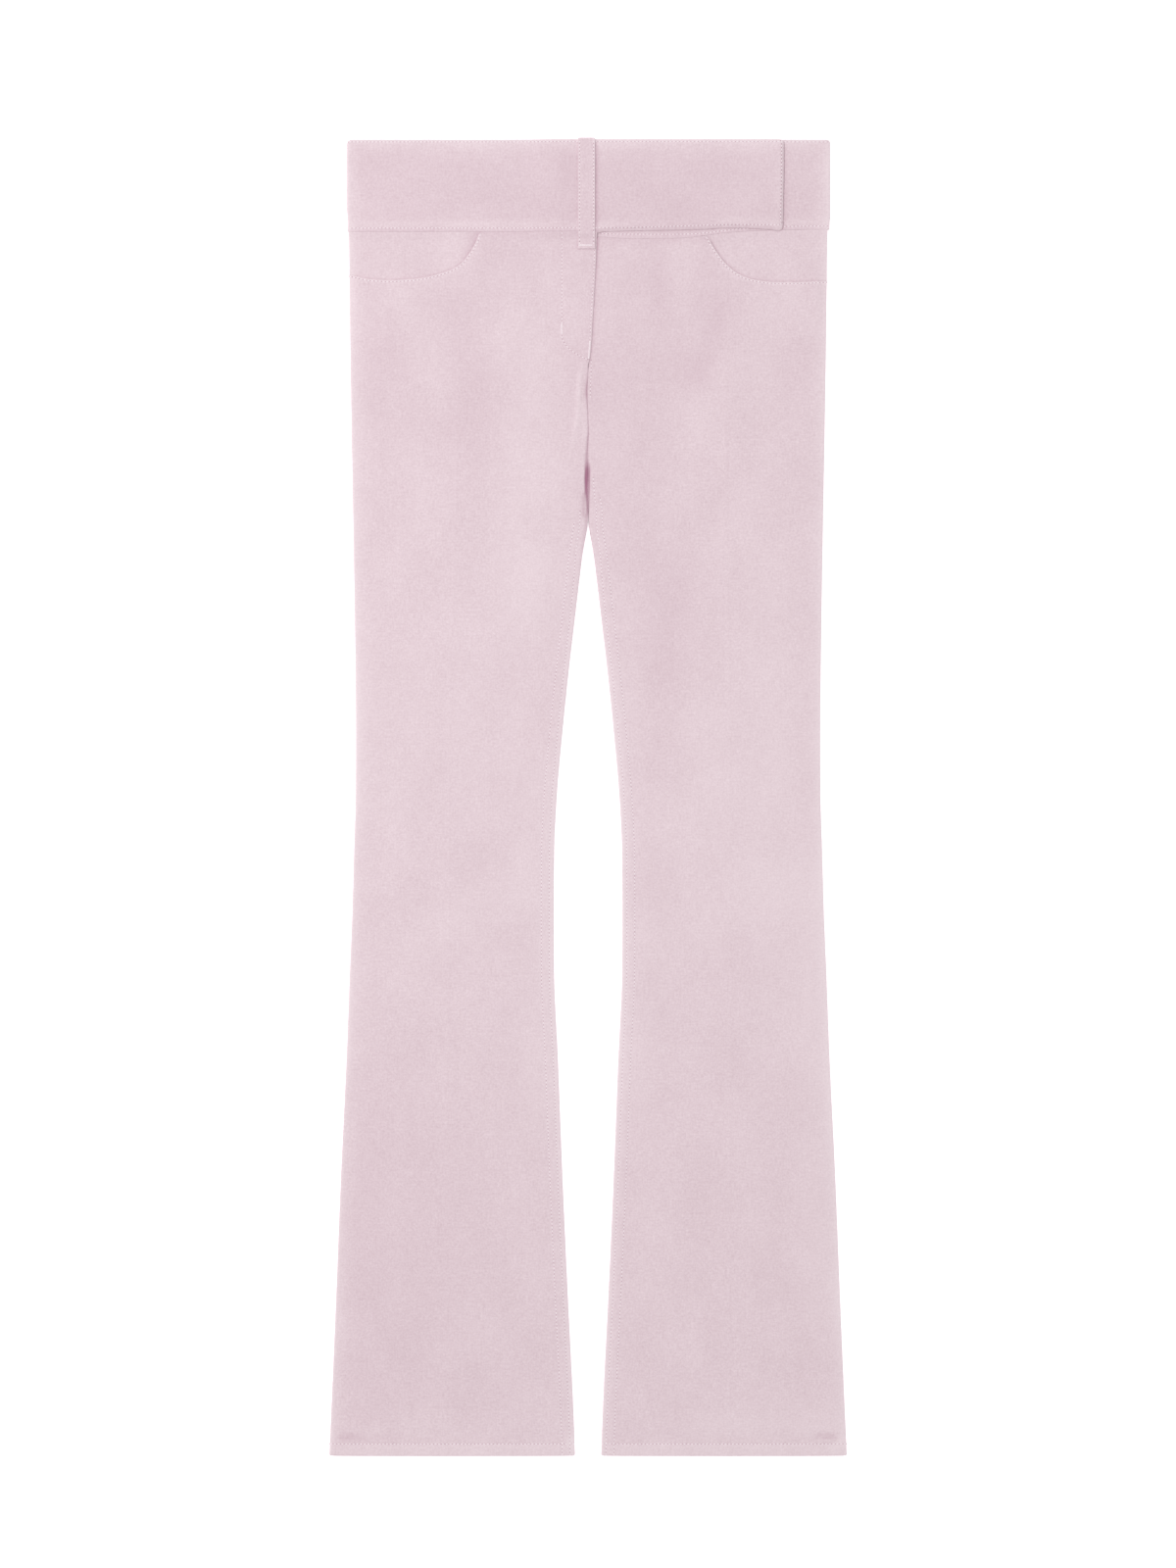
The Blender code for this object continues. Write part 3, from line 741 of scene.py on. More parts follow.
def centre_hollow(side, across, height):
    """How deep in the hollow of the centre seam a point lies, from 0 to 1."""
    reach = smooth(CENTRE_HOLLOW, side.name, height)
    inside = ramp(reach + 0.9, reach - 0.5, across - seam_line(height)) * ramp(FLY_FOOT + 6, FLY_FOOT, height)
    depth = smooth(CENTRE_HOLLOW, "depth", height) * (LEFT_SIDE_DEPTH if side is LEFT else 1.0)
    return depth * inside


def inner_edge(side, height):
    """The inseam or centre seam, and above it the fly's edge or the cloth under it."""
    above = -smooth(FLY, "edge", height) if side is RIGHT else smooth(FLY, "under", height)
    return np.where(height <= FLY_FOOT, seam_line(height), above)


def top_edge(side, across):
    """The waist seam, and past its end the pocket's mouth."""
    waist = waist_seam(side, across) - SEAM_GAP
    return np.where(across > side.mouth[0].across, mouth_edge(side, across), waist)


def fold_sum(folds, x, height):
    """The sum of soft folds, each a ridge or trough between its two ends."""
    relief = np.zeros(np.shape(x))
    for fold in folds:
        run_x, run_height = fold.x_to - fold.x_from, fold.height_to - fold.height_from
        along = (x - fold.x_from) * run_x + (height - fold.height_from) * run_height
        along = np.clip(along / (run_x**2 + run_height**2), 0.0, 1.0)
        off_x = x - fold.x_from - along * run_x
        off_height = height - fold.height_from - along * run_height
        relief += fold.rise * np.exp(-(off_x**2 + off_height**2) / fold.reach**2)
    return relief


def tab_under(x):
    """The underside of the right band, which climbs over the left one before the centre front."""
    return FRONT_BAND_UNDER + TAB_RISE * ramp(TAB_RISE_FROM, TAB_RISE_TO, x)


def groove(distance):
    """The dip that a row of stitches pulls into the cloth."""
    return -GROOVE * np.exp(-((distance / GROOVE_WIDTH) ** 2))


def mouth_distance(side, across, height):
    """How far a point of the front is from its pocket's mouth."""
    corner = side.mouth[0].across
    below = mouth_edge(side, across) - height
    return np.hypot(np.maximum(corner - across, 0.0), np.maximum(below, 0.0))


def sewing_relief(side, across, height):
    """Ridges over the seam turnings and grooves along the rows of stitches."""
    from_inseam = across - seam_line(height)
    first, second = (smooth(INSEAM_ROWS, row, height) for row in ("first", "second"))
    ridge = ramp(first - 1, first + 1, from_inseam) * ramp(second + 1.5, second - 0.5, from_inseam)
    relief = SEAM_RIDGE * ridge * ramp(INSEAM_ENDS[side.name][1], INSEAM_ENDS[side.name][1] - 20, height)
    for row, end in zip((first, second), INSEAM_ENDS[side.name]):
        relief += groove(from_inseam - row) * ramp(end, end - 6, height)
    relief += HEM_RIDGE * ramp(HEM_ROW + 1.2, HEM_ROW - 0.6, height) + groove(height - HEM_ROW)
    inside_mouth = across > side.mouth[0].across
    relief += np.where(inside_mouth, groove(mouth_gap(side, across, height) - MOUTH_ROW), 0.0)
    on_fly = ramp(FLY_FOOT, FLY_FOOT + 6, height)
    if side is RIGHT:
        relief += on_fly * groove(across - inner_edge(side, height) - FLY_ROW)
        relief += ramp(FLY_BEND - 3, FLY_BEND + 3, height) * groove(across - FLY_STITCH)
    return relief


def front_top(side, across, height):
    """The upper face of a front leg panel."""
    from_side = side_inset(across, height)
    from_seam = np.maximum(across - seam_line(height), 0.0)
    from_centre = from_seam + CENTRE_FILL * ramp(CROTCH, FLY_FOOT, height)
    held = roll(np.minimum(from_side, from_centre))
    top = FRONT_REST + ROLL_RISE * held + FULL_LOFT * fill(from_side) * fill(from_centre)

    off = across - smooth(LEG, side.crease, height)
    pressed = ramp(CREASE_SOFT, CREASE_FULL, height)
    swell = CREASE_SWELL * np.exp(-((off / CREASE_SWELL_REACH) ** 2))
    top += held * pressed * (swell + CREASE_LINE * np.exp(-np.abs(off) / CREASE_LINE_REACH))
    top += held * fold_sum(FOLDS, side.sign * across, height) * fill(from_side)
    top -= HOLLOW_DROP * centre_hollow(side, across, height)

    over_facing = facing_top(side, across, height) + MOUTH_LIFT
    near = ramp(MOUTH_FAR, MOUTH_NEAR, mouth_distance(side, across, height))
    near *= ramp(ROLL_REACH, FACING_CLEAR - 1, from_side)
    top += near * np.maximum(over_facing - top, 0.0)
    top += sewing_relief(side, across, height)

    lapped = LAP * ramp(LAP_SOFT, FLY_FOOT, height)
    if side is LEFT:
        top -= lapped * ramp(UNDERLAP_FAR, UNDERLAP_NEAR, across)
        return climb_to_band(side, across, height, top)
    top += lapped * ramp(LAP_FAR, LAP_NEAR, across)
    return climb_to_band(side, across, height, top, tab_under(-across) + BAND_CLOTH)


SEAM_STEPS = (3.55, 4.1, 4.7, 5.4, 6.8, 8.4, 9.6, 10.1, 10.6, 11.1, 11.8, 13.2, 15.3, 17.8, 20.4, 21.3,
              21.9, 22.5, 23.4)
CREASE_STEPS = (-13.0, -9.0, -6.0, -4.0, -2.6, -1.5, -0.7, 0.0, 0.7, 1.5, 2.6, 4.0, 6.0, 9.0, 13.0)
SIDE_STEPS = (-12.0, -9.0, -6.5, -4.5, -3.2, -2.0, -1.2, -0.65, -0.3, -0.08, 0.0)
TOP_STEPS = (5.2, 4.2, 3.4, 2.8, 2.35, 1.95, 1.6, 1.25, 0.9, 0.55, 0.25, 0.07, 0.0)
FRONT_PITCH = 3.0
WAIST_FROM = 955.0              # above it the rows bend to the waist seam and the pocket's mouth
WAIST_ROWS = 24
TOP_CLEAR = 6.2

for side in (RIGHT, LEFT):
    columns = columns_from("edge", EDGE_STEPS)
    columns += [Column("edge", "seam", min((step - EDGE_STEPS[-1]) / 12, 1), step) for step in SEAM_STEPS]
    columns += columns_between("seam", "crease", SEAM_STEPS[-1], CREASE_STEPS[0], 26)
    columns += columns_from("crease", CREASE_STEPS)
    columns += columns_between("crease", "side", CREASE_STEPS[-1], SIDE_STEPS[0], 21)
    columns += columns_from("side", SIDE_STEPS)

    def lay(height):
        lines = {
            "edge": inner_edge(side, height),
            "seam": seam_line(height),
            "crease": smooth(LEG, side.crease, height),
            "side": outer_edge(height),
        }
        return lay_columns(columns, lines)

    leg_rows = np.arange(HEM_STEPS[-1] + FRONT_PITCH, WAIST_FROM, FRONT_PITCH)
    leg_height = np.repeat(np.concatenate([HEM_STEPS, leg_rows])[:, None], len(columns), 1)
    shares = np.linspace(0, 1, WAIST_ROWS + 1)
    share = np.concatenate([shares, np.ones(len(TOP_STEPS))])[:, None]
    short = np.concatenate([TOP_CLEAR * shares, TOP_STEPS])[:, None]
    waist_height = np.repeat(WAIST_FROM + share * (BAND_SEAM - WAIST_FROM) - short, len(columns), 1)
    for _ in range(3):          # an edge's height depends on where its columns lie
        edge_above = top_edge(side, lay(waist_height + short))
        waist_height = WAIST_FROM + share * (edge_above - WAIST_FROM) - short
    height = np.concatenate([leg_height, waist_height])
    across = lay(height)

    # Painted light and shade: highlights on edges, hem and mouth, shadow beside the fly, shade in the hollow
    # and below the waist seam, and lighter ridges, darker troughs and broad patches.
    from_side = side_inset(across, height)
    from_seams = np.minimum(from_side, np.abs(across - seam_line(height)))
    below_crotch = ramp(CROTCH - 5, CROTCH - 130, height)
    painted_shading = np.maximum(edge_highlight(from_seams) * below_crotch, edge_highlight(from_side))
    painted_shading = np.maximum(painted_shading, HEM_HIGHLIGHT * ramp(HEM_ROW + 0.5, HEM_ROW - 1, height))
    on_mouth = ramp(side.mouth[0].across - 1, side.mouth[0].across + 3, across)
    from_top = top_edge(side, across) - height
    painted_shading = np.maximum(painted_shading, MOUTH_HIGHLIGHT * on_mouth * np.exp(-from_top / MOUTH_HIGHLIGHT_REACH))
    if side is LEFT:
        past_fly = np.maximum(across - smooth(FLY, "edge", height), 0.0)
        fly_shadow_depth = FLY_SHADOW + (1 - FLY_SHADOW) * ramp(FLY_SHADOW_FROM, FLY_SHADOW_FULL, height)
        painted_shading -= fly_shadow_depth * ramp(FLY_FOOT - 3, FLY_FOOT + 6, height) * painted_shadow(past_fly, FLY_SHADOW_REACH)
    painted_shading -= centre_hollow(side, across, height)
    waist = waist_seam(side, across)
    painted_shading -= WAIST_SHADE * ramp(waist - 9, waist - 1, height) * (1 - on_mouth)
    folds, painted_patches = (fold_sum(kind, side.sign * across, height) for kind in (FOLDS, PAINTED_PATCHES))
    painted_shading += FOLD_SHADING * folds + painted_patches

    hem = ramp(HEM_ROW + 1.5, HEM_ROW, height)
    fly = ramp(FLY_FOOT - 4, FLY_FOOT + 6, height) * ramp(12.0, 6.0, across)
    near_mouth = ramp(MOUTH_FAR, MOUTH_NEAR, mouth_distance(side, across, height)) * ramp(0.0, 4.0, from_side)
    thick = FRONT_CLOTH + (HEM_CLOTH - FRONT_CLOTH) * hem + (FLY_CLOTH - FRONT_CLOTH) * fly
    thick -= (FRONT_CLOTH - MOUTH_CLOTH) * near_mouth
    fold = FRONT_FOLD + (0.45 - FRONT_FOLD) * ramp(6.0, 0.0, height) * ramp(0.5, 4.0, from_side)
    on_centre = ramp(CROTCH - 30, CROTCH, height) * ramp(FLY_FOOT + 6, FLY_FOOT - 4, height)
    fold += on_centre * ramp(9.0, 5.0, across) * (SEAM_FOLD - fold)
    in_mouth = ramp(side.mouth[0].across, side.mouth[0].across + 2, across) * ramp(6.0, 9.0, from_side)
    fold += ramp(6.0, 2.5, from_top) * (in_mouth * 0.45 + (1 - in_mouth) * SEAM_FOLD - fold)

    name = "front_leg_" + side.name
    x = sway(side.sign * across, height)
    top = front_top(side, across, height)
    front = cloth_piece(name + "_cloth", x, height, top, thick, fold, painted_shading)
    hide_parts(name)


# ---------------------------------------------------------------------------------------------
# Topstitching of the legs. Rows of spun polyester thread, a little paler than the twill, hold down the
# inseams, the hems, the pockets' mouths and the fly. Each stitch sinks into the cloth between its holes.

STITCH_PITCH = 3.1
STITCH_SIZE = (1.9, 0.8, 0.5)       # length, width and height of the thread that shows
STITCH_SLANT, STITCH_JITTER = math.radians(7.0), math.radians(5.0)
HOLE_SIZE = (1.1, 0.7, 0.16)
TACK_PITCH = 0.5
TACK_SIZE = (0.55, 1.9, 0.6)        # a bar tack's threads lie close together across its row
THREAD_COLOUR = 0xF9EEF2
# painted shade in the needle holes
HOLE_SHADE_COLOUR = 0xC6A5B1
STITCH_SEED = 7
TWIST_SIZE = 0.6                # of the thread's fuzz

# Spun polyester sewing thread: matt, fuzzy, and very slightly shiny along its twist.
thread, thread_shader = new_material("polyester_thread_spun", {
    "Base Color": colour(THREAD_COLOUR),
    "Roughness": 0.6,
    "Specular IOR Level": 0.35,
})
thread_tree = thread.node_tree
thread_place = add(thread_tree, "ShaderNodeTexCoord").outputs["Object"]
twist = {"Vector": thread_place, "Scale": 1 / (TWIST_SIZE * MM), "Detail": 1.0}
twist = add(thread_tree, "ShaderNodeTexNoise", twist)
twist_bump = {"Height": twist.outputs["Fac"], "Strength": 0.4, "Distance": 0.06 * MM}
twisted = add(thread_tree, "ShaderNodeBump", twist_bump).outputs[0]
thread_tree.links.new(twisted, thread_shader.inputs["Normal"])

# The needle holes between the stitches: discs of painted shade, where the twill dips out of the light.
hole_shade, _ = new_material("cotton_twill_in_needle_holes", {
    "Base Color": colour(HOLE_SHADE_COLOUR),
    "Roughness": 0.95,
    "Specular IOR Level": 0.1,
})


def stitching_tree():
    """Geometry Nodes that lay one small drop of thread on each step of a sewn row."""
    tree = bpy.data.node_groups.new("row_of_stitches", "GeometryNodeTree")
    tree.interface.new_socket("Rows", in_out="INPUT", socket_type="NodeSocketGeometry")
    for name in ("Pitch", "Shift", "Slant", "Jitter"):
        tree.interface.new_socket(name, in_out="INPUT", socket_type="NodeSocketFloat")
    tree.interface.new_socket("Size", in_out="INPUT", socket_type="NodeSocketVector")
    tree.interface.new_socket("Seed", in_out="INPUT", socket_type="NodeSocketInt")
    tree.interface.new_socket("Thread", in_out="INPUT", socket_type="NodeSocketMaterial")
    tree.interface.new_socket("Stitches", in_out="OUTPUT", socket_type="NodeSocketGeometry")
    given = add(tree, "NodeGroupInput").outputs

    row = add(tree, "GeometryNodeMeshToCurve", {"Mesh": given["Rows"]}).outputs["Curve"]
    steps = {"Curve": row, "Length": given["Pitch"]}
    stepped = add(tree, "GeometryNodeResampleCurve", steps, mode="LENGTH").outputs["Curve"]
    points = add(tree, "GeometryNodeCurveToPoints", {"Curve": stepped}, mode="EVALUATED").outputs
    shift = add(
        tree, "ShaderNodeVectorMath", {0: points["Tangent"], "Scale": given["Shift"]}, operation="SCALE"
    ).outputs[0]
    placed = add(tree, "GeometryNodeSetPosition", {"Geometry": points["Points"], "Offset": shift}).outputs[0]
    along = {"Vector": points["Tangent"]}
    turned = add(tree, "FunctionNodeAlignRotationToVector", along, axis="X").outputs[0]
    upright = {"Rotation": turned, "Vector": (0.0, 0.0, 1.0)}
    turned = add(tree, "FunctionNodeAlignRotationToVector", upright, axis="Z", pivot_axis="X").outputs[0]
    spread = add(tree, "FunctionNodeRandomValue", {2: -1.0, 3: 1.0, "Seed": given["Seed"]}).outputs[1]
    slant = maths(tree, "MULTIPLY_ADD", spread, given["Jitter"], given["Slant"])
    slant = add(tree, "ShaderNodeCombineXYZ", {"Z": slant}).outputs[0]
    slanted = {"Rotation": turned, "Rotate By": slant}
    turned = add(tree, "FunctionNodeRotateRotation", slanted, rotation_space="LOCAL").outputs[0]

    drop = add(tree, "GeometryNodeMeshUVSphere", {"Segments": 6, "Rings": 4, "Radius": 0.5}).outputs["Mesh"]
    drop = add(tree, "GeometryNodeTransform", {"Geometry": drop, "Scale": given["Size"]}).outputs[0]
    laid = {"Points": placed, "Instance": drop, "Rotation": turned}
    laid = add(tree, "GeometryNodeInstanceOnPoints", laid).outputs[0]
    real = add(tree, "GeometryNodeRealizeInstances", {"Geometry": laid}).outputs[0]
    soft = add(tree, "GeometryNodeSetShadeSmooth", {"Geometry": real}).outputs[0]
    threaded = {"Geometry": soft, "Material": given["Thread"]}
    threaded = add(tree, "GeometryNodeSetMaterial", threaded).outputs[0]
    add(tree, "NodeGroupOutput", {"Stitches": threaded})
    return tree


stitching = stitching_tree()


def sew(name, rows, pitch, size, shift, slant, jitter, material):
    """Sews rows of points, each x, height and z, with one kind of stitch."""
    ends = np.cumsum([0] + [len(row) for row in rows])
    edges = [(k, k + 1) for k in range(ends[-1] - 1) if k + 1 not in ends]
    mesh = bpy.data.meshes.new(name)
    mesh.from_pydata((np.concatenate(rows) + (0.0, HEM_Y, 0.0)) * MM, edges, [])
    piece = bpy.data.objects.new(name, mesh)
    bpy.context.scene.collection.objects.link(piece)
    modifier = piece.modifiers.new("stitches", "NODES")
    modifier.node_group = stitching
    values = {
        "Pitch": pitch * MM,
        "Shift": shift * MM,
        "Slant": slant,
        "Jitter": jitter,
        "Size": [side * MM for side in size],
        "Seed": STITCH_SEED,
        "Thread": material,
    }
    for socket in stitching.interface.items_tree:
        if socket.name in values:
            modifier[socket.identifier] = values[socket.name]
    sewn = piece.evaluated_get(bpy.context.evaluated_depsgraph_get())
    piece.data = bpy.data.meshes.new_from_object(sewn)
    piece.modifiers.clear()
    piece.data.name = name
    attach(piece, "root")
    return piece


def topstitch(name, rows, sunk=0.0):
    """Lockstitched rows: the threads, sunk this much into the cloth, and discs of painted shade between them.
    """
    threads = [row - (0.0, 0.0, sunk) for row in rows]
    sew(name, threads, STITCH_PITCH, STITCH_SIZE, 0.0, STITCH_SLANT, STITCH_JITTER, thread)
    sew(name + "_holes", rows, STITCH_PITCH, HOLE_SIZE, STITCH_PITCH / 2, 0.0, 0.0, hole_shade)


def bar_tack(name, rows):
    """Short rows of close stitches that hold a seam's end."""
    sew(name, rows, TACK_PITCH, TACK_SIZE, 0.0, 0.0, STITCH_JITTER, thread)


STEP = 1.5                      # between the points that a row follows
FLY_CURVE = table("across height", [
    (21.9, 937), (21.6, 934), (20.2, 930.6), (17.6, 927), (14, 923.6), (9.8, 920.7), (5.6, 918.3),
    (1.6, 916.6),
])
FLY_TACK, FLY_TACK_ACROSS = (917.0, 931.0), (-0.5, -1.6)
BEND_TACK = 8.0                 # how long the tack above the fly stitch's bend is
FLY_ROW_TOP, FLY_STITCH_TOP = 1018.0, 1021.0
CENTRE_ROW = 2.6                # in the left front, beside the centre seam
CENTRE_ROW_ENDS = (885.0, 914.0)
ROW_CLEAR = 1.5                 # rows end this far from an edge
SUNK = 0.14                     # how deep the fly's and the loop's threads are pulled in


def steps(start, end):
    """Evenly spread values from start to end, about a step apart."""
    return np.linspace(start, end, max(round(abs(end - start) / STEP), 1) + 1)


def on_front(side, across, height):
    """Points on a front leg's upper face."""
    across, height = np.broadcast_arrays(across, height)
    return np.stack([sway(side.sign * across, height), height, front_top(side, across, height)], -1)


inseam_rows, hem_rows, mouth_rows = [], [], []
for side in (RIGHT, LEFT):
    for row, end in zip(("first", "second"), INSEAM_ENDS[side.name]):
        up = steps(ROW_CLEAR, end)
        inseam_rows.append(on_front(side, seam_line(up) + smooth(INSEAM_ROWS, row, up), up))
    hem_across = steps(float(seam_line(HEM_ROW)) + 1.0, float(outer_edge(HEM_ROW)) - ROW_CLEAR)
    hem_rows.append(on_front(side, hem_across, HEM_ROW))
    mouth = steps(side.mouth[0].across + 0.8, float(outer_edge(side.mouth[-1].height)) - ROW_CLEAR)
    slope = mouth_slope(side, mouth)
    slant_length = np.hypot(1.0, slope)
    row_across = mouth + MOUTH_ROW * slope / slant_length
    row_height = mouth_edge(side, mouth) - MOUTH_ROW / slant_length
    inside = row_height < waist_seam(side, row_across) - 1.0
    mouth_rows.append(on_front(side, row_across[inside], row_height[inside]))
fly_up = steps(FLY_TACK[1], FLY_ROW_TOP)
tack_up = steps(*FLY_TACK)
curve_across, curve_height = np.array(FLY_CURVE, float).T
fly_down = steps(FLY_STITCH_TOP, FLY_BEND)
fly_across = np.concatenate([np.full(len(fly_down), FLY_STITCH), curve_across])
fly_rows = [
    on_front(RIGHT, inner_edge(RIGHT, fly_up) + FLY_ROW, fly_up),
    on_front(RIGHT, fly_across, np.concatenate([fly_down, curve_height])),
    on_front(LEFT, CENTRE_ROW, steps(*CENTRE_ROW_ENDS)),
]
tack_rows = [
    on_front(RIGHT, FLY_STITCH, steps(FLY_BEND, FLY_BEND + BEND_TACK)),
    on_front(RIGHT, np.linspace(*FLY_TACK_ACROSS, len(tack_up)), tack_up),
]
topstitch("inseam_stitches", inseam_rows, SUNK / 2)
topstitch("hem_stitches", hem_rows)
topstitch("pocket_mouth_stitches", mouth_rows)
topstitch("fly_stitches", fly_rows, SUNK)
bar_tack("fly_bar_tacks", tack_rows)


# ---------------------------------------------------------------------------------------------
# Waistbands. Straight bands of doubled twill: one round the back, and two in front that lap over each
# other. The right one runs on past the centre front as a square-ended tab and lies over the left one.

BAND_TOP = 1100.0
BAND_HALF = 201.2               # half the waist, laid flat
UNDER_END = -18.0
TAB_END = 163.3
RIGHT_CORNER, LEFT_CORNER, TAB_CORNER = 4.6, 3.3, 3.4
SQUARE = 1e-3                   # the radius of a corner that isn't rounded
TAB_SEAM = table("x height", [
    (-6, BAND_SEAM), (0, 1022), (6.4, 1020.7), (9, 1021.6), (13.4, 1022.6), (96, 1024.5),
    (115, 1025.7), (134, 1025.5), (144, 1024.9), (152, 1024.5), (158, 1023.7), (TAB_END, 1023.4),
])
TAB_ROW = table("x height", [
    (-202, 1025.7), (26, 1025.8), (71, 1027), (96, 1027.8), (122, 1028.4), (TAB_END, 1028.2),
])
# How far the tab's end leans out.
TAB_LEAN = table("height lean", [
    (1024, -0.8), (1032, -0.4), (1052, -0.1), (1074, 0.35), (1100, 0.4),
])
TAB_THIN, TAB_THIN_REACH = 1.2, 3.4     # its free edges are pressed thin
TAB_SPARED = 5.0                # its end gets only as much painted highlight as cloth this far from an edge
TAB_SHADOW, TAB_SHADOW_REACH = 0.3, 1.3       # painted shadow on the under band beside it
UNDER_ROW = table("x height", [
    (9, 1021.3), (26, 1020.7), (72, 1020.6), (86, 1020.9), (102, 1022.2), (114, 1023.7),
    (127, 1025.2), (165, 1027.1), (202, 1027.5),
])
TOP_ROW, END_ROW = 2.3, 2.1     # rows of stitches, in from the bands' top and the tab's end
BAND_TURNINGS, BAND_RIDGE = 8.0, 0.2
BAND_DEPTH = 0.09               # the bands are drawn a little darker than the legs
BAND_STRIP_HIGHLIGHT, BAND_STRIP_AT = 0.12, 6.0   # and a painted highlight on a strip over the turnings, away from the loop
RIGHT_BULGE, LEFT_BULGE = 0.6, 1.3      # the bands' ends stand out past the hips
LOOP_SIDES = (-8.5, 6.1)
LOOP_SHADOW = 0.6                  # painted shadow on the tab in the lee of the belt loop
BEFORE_LOOP_SHADE = 0.045             # and a little painted shade on its other side too
BAND_STEPS = np.array([0.0, 0.1, 0.35, 0.8, 1.4, 2.1, 2.9, 3.6, 5.0, 7.2, 9.2])
BAND_PITCH, BAND_SHARES = 3.2, 16
BAND_FOLDS = table("x_from height_from x_to height_to rise reach", [
    (166, 1082, 202, 1074, 0.35, 3.5),          # wrinkle in the left band
    (-24, 1090, -22, 1035, -0.2, 9),            # hollow beside the belt loop
    (-160, 1060, -60, 1052, 0.2, 22),
    (40, 1066, 120, 1058, 0.2, 24),
])

# A band runs from start to end. seam, under and row give the height of its foot, its underside and the
# height of its lower row of stitches at any x.
Band = namedtuple("Band", "node start end seam under row")


def back_seam(x):
    return back_top_edge(x) + SEAM_GAP


def floor_level(x):
    return np.zeros(np.shape(x))


def back_band_level(x):
    return np.full(np.shape(x), FRONT_BAND_UNDER)


left_seam, tab_seam, tab_row, under_row = (
    partial(smooth, rows, "height") for rows in (LEFT_SEAM, TAB_SEAM, TAB_ROW, UNDER_ROW)
)
BACK_BAND = Band("waistband_back", -BAND_HALF, BAND_HALF, back_seam, floor_level, None)
UNDER_BAND = Band("waistband_under", UNDER_END, BAND_HALF, left_seam, back_band_level, under_row)
TAB_BAND = Band("waistband_tab", -BAND_HALF, TAB_END, tab_seam, tab_under, tab_row)


def band_relief(band, x, height):
    """Turnings, the grooves of the stitching and soft folds, on top of a front band."""
    ridge = BAND_RIDGE * ramp(BAND_TURNINGS + 2.5, BAND_TURNINGS - 1, height - band.seam(x))
    relief = ridge + fold_sum(BAND_FOLDS, x, height)
    relief += groove(height - band.row(x)) + groove(BAND_TOP - height - TOP_ROW)
    return relief


def band_grid(band, start_corner, end_corner, foot_corner):
    """A band's grid of points, with the lines of its foot and head."""
    inner = np.arange(band.start + BAND_STEPS[-1] + BAND_PITCH, band.end - BAND_STEPS[-1] - 1, BAND_PITCH)
    columns = np.concatenate([band.start + BAND_STEPS, inner, band.end - BAND_STEPS[::-1]])
    at_ends = np.zeros(len(BAND_STEPS))
    shares = np.concatenate([at_ends, np.linspace(0, 1, BAND_SHARES + 2)[1:-1], at_ends + 1])[:, None]
    between = np.linspace(BAND_STEPS[-1], -BAND_STEPS[-1], BAND_SHARES + 2)[1:-1]
    offsets = np.concatenate([BAND_STEPS, between, -BAND_STEPS[::-1]])[:, None]
    x = np.repeat(columns[None], len(shares), 0)
    foot = band.seam(x) + corner_cut(band.end - x, foot_corner)
    head = BAND_TOP - corner_cut(x - band.start, start_corner) - corner_cut(band.end - x, end_corner)
    height = foot + shares * (head - foot) + offsets
    x = x - RIGHT_BULGE * ramp(-150, -200, x) * (1 - 2 * ramp(22, 2, height - foot))
    x = x + LEFT_BULGE * ramp(170, 200, x) * (1 - 0.6 * ramp(12, 2, height - foot))
    return x, height, foot, head


def lay_band(band, start_corner, end_corner, foot_corner=SQUARE):
    """A doubled band with rounded corners, whose ends fold round at the side seams."""
    x, height, foot, head = band_grid(band, start_corner, end_corner, foot_corner)
    top = band.under(x) + BAND_CLOTH + (band_relief(band, x, height) if band.row else 0.0)
    turned_down = np.maximum(ramp(-BAND_HALF + 4, -BAND_HALF, x), ramp(BAND_HALF - 4, BAND_HALF, x))
    seamed = ramp(7.0, 3.0, height - foot)
    # Painted highlight along the free edges and on a strip over the turnings, a little paler towards the left
    # end; on the tab and the under band, painted shadow beside the belt loop and the tab.
    spared = TAB_SPARED if band is TAB_BAND else 0.0
    free_edge = np.minimum(head - height, np.minimum(x - band.start, band.end - x + spared))
    painted_shading = edge_highlight(np.maximum(free_edge, 0.0)) - BAND_DEPTH
    strip_highlight = BAND_STRIP_HIGHLIGHT * (1 - 0.9 * ramp(15, 30, x) * ramp(125, 100, x))
    painted_shading += strip_highlight * np.exp(-(((height - foot - BAND_STRIP_AT) / 3.0) ** 2)) + 0.02 * ramp(90, 130, x)
    thin = 0.0
    if band is TAB_BAND:
        top += groove(TAB_END - x - END_ROW)
        low_edge = ramp(4.0, 14.0, x) * ramp(TAB_THIN_REACH, 0.3, height - foot)
        thin = TAB_THIN * np.maximum(low_edge, 0.5 * ramp(TAB_THIN_REACH, 0.3, TAB_END - x))
        top -= thin
        turned_down = np.maximum(turned_down, np.maximum(ramp(TAB_END - 6, TAB_END - 3, x), seamed))
        seamed *= ramp(4.0, -4.0, x)
        painted_shading -= LOOP_SHADOW * painted_shadow(np.maximum(x - LOOP_SIDES[1], 0)) * (x > LOOP_SIDES[1] - 2)
        painted_shading -= BEFORE_LOOP_SHADE * ramp(-36.0, -12.0, x) * (x < LOOP_SIDES[0] + 2)
        x = x + smooth(TAB_LEAN, "lean", height) * ramp(TAB_END - 14, TAB_END - 2, x)
    elif band is UNDER_BAND:
        off_tab = np.maximum(x - TAB_END, tab_seam(x) - height)
        painted_shading -= TAB_SHADOW * painted_shadow(np.maximum(off_tab, 0.0), TAB_SHADOW_REACH) * ramp(TAB_END - 6, TAB_END, x)
    fold = 0.5 - 0.35 * turned_down
    fold += (SEAM_FOLD - fold) * seamed
    cloth = (height, x)         # a band's warp runs along it
    laid = cloth_piece(band.node + "_cloth", x, height, top, BAND_CLOTH - thin, fold, painted_shading, cloth)
    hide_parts(band.node)


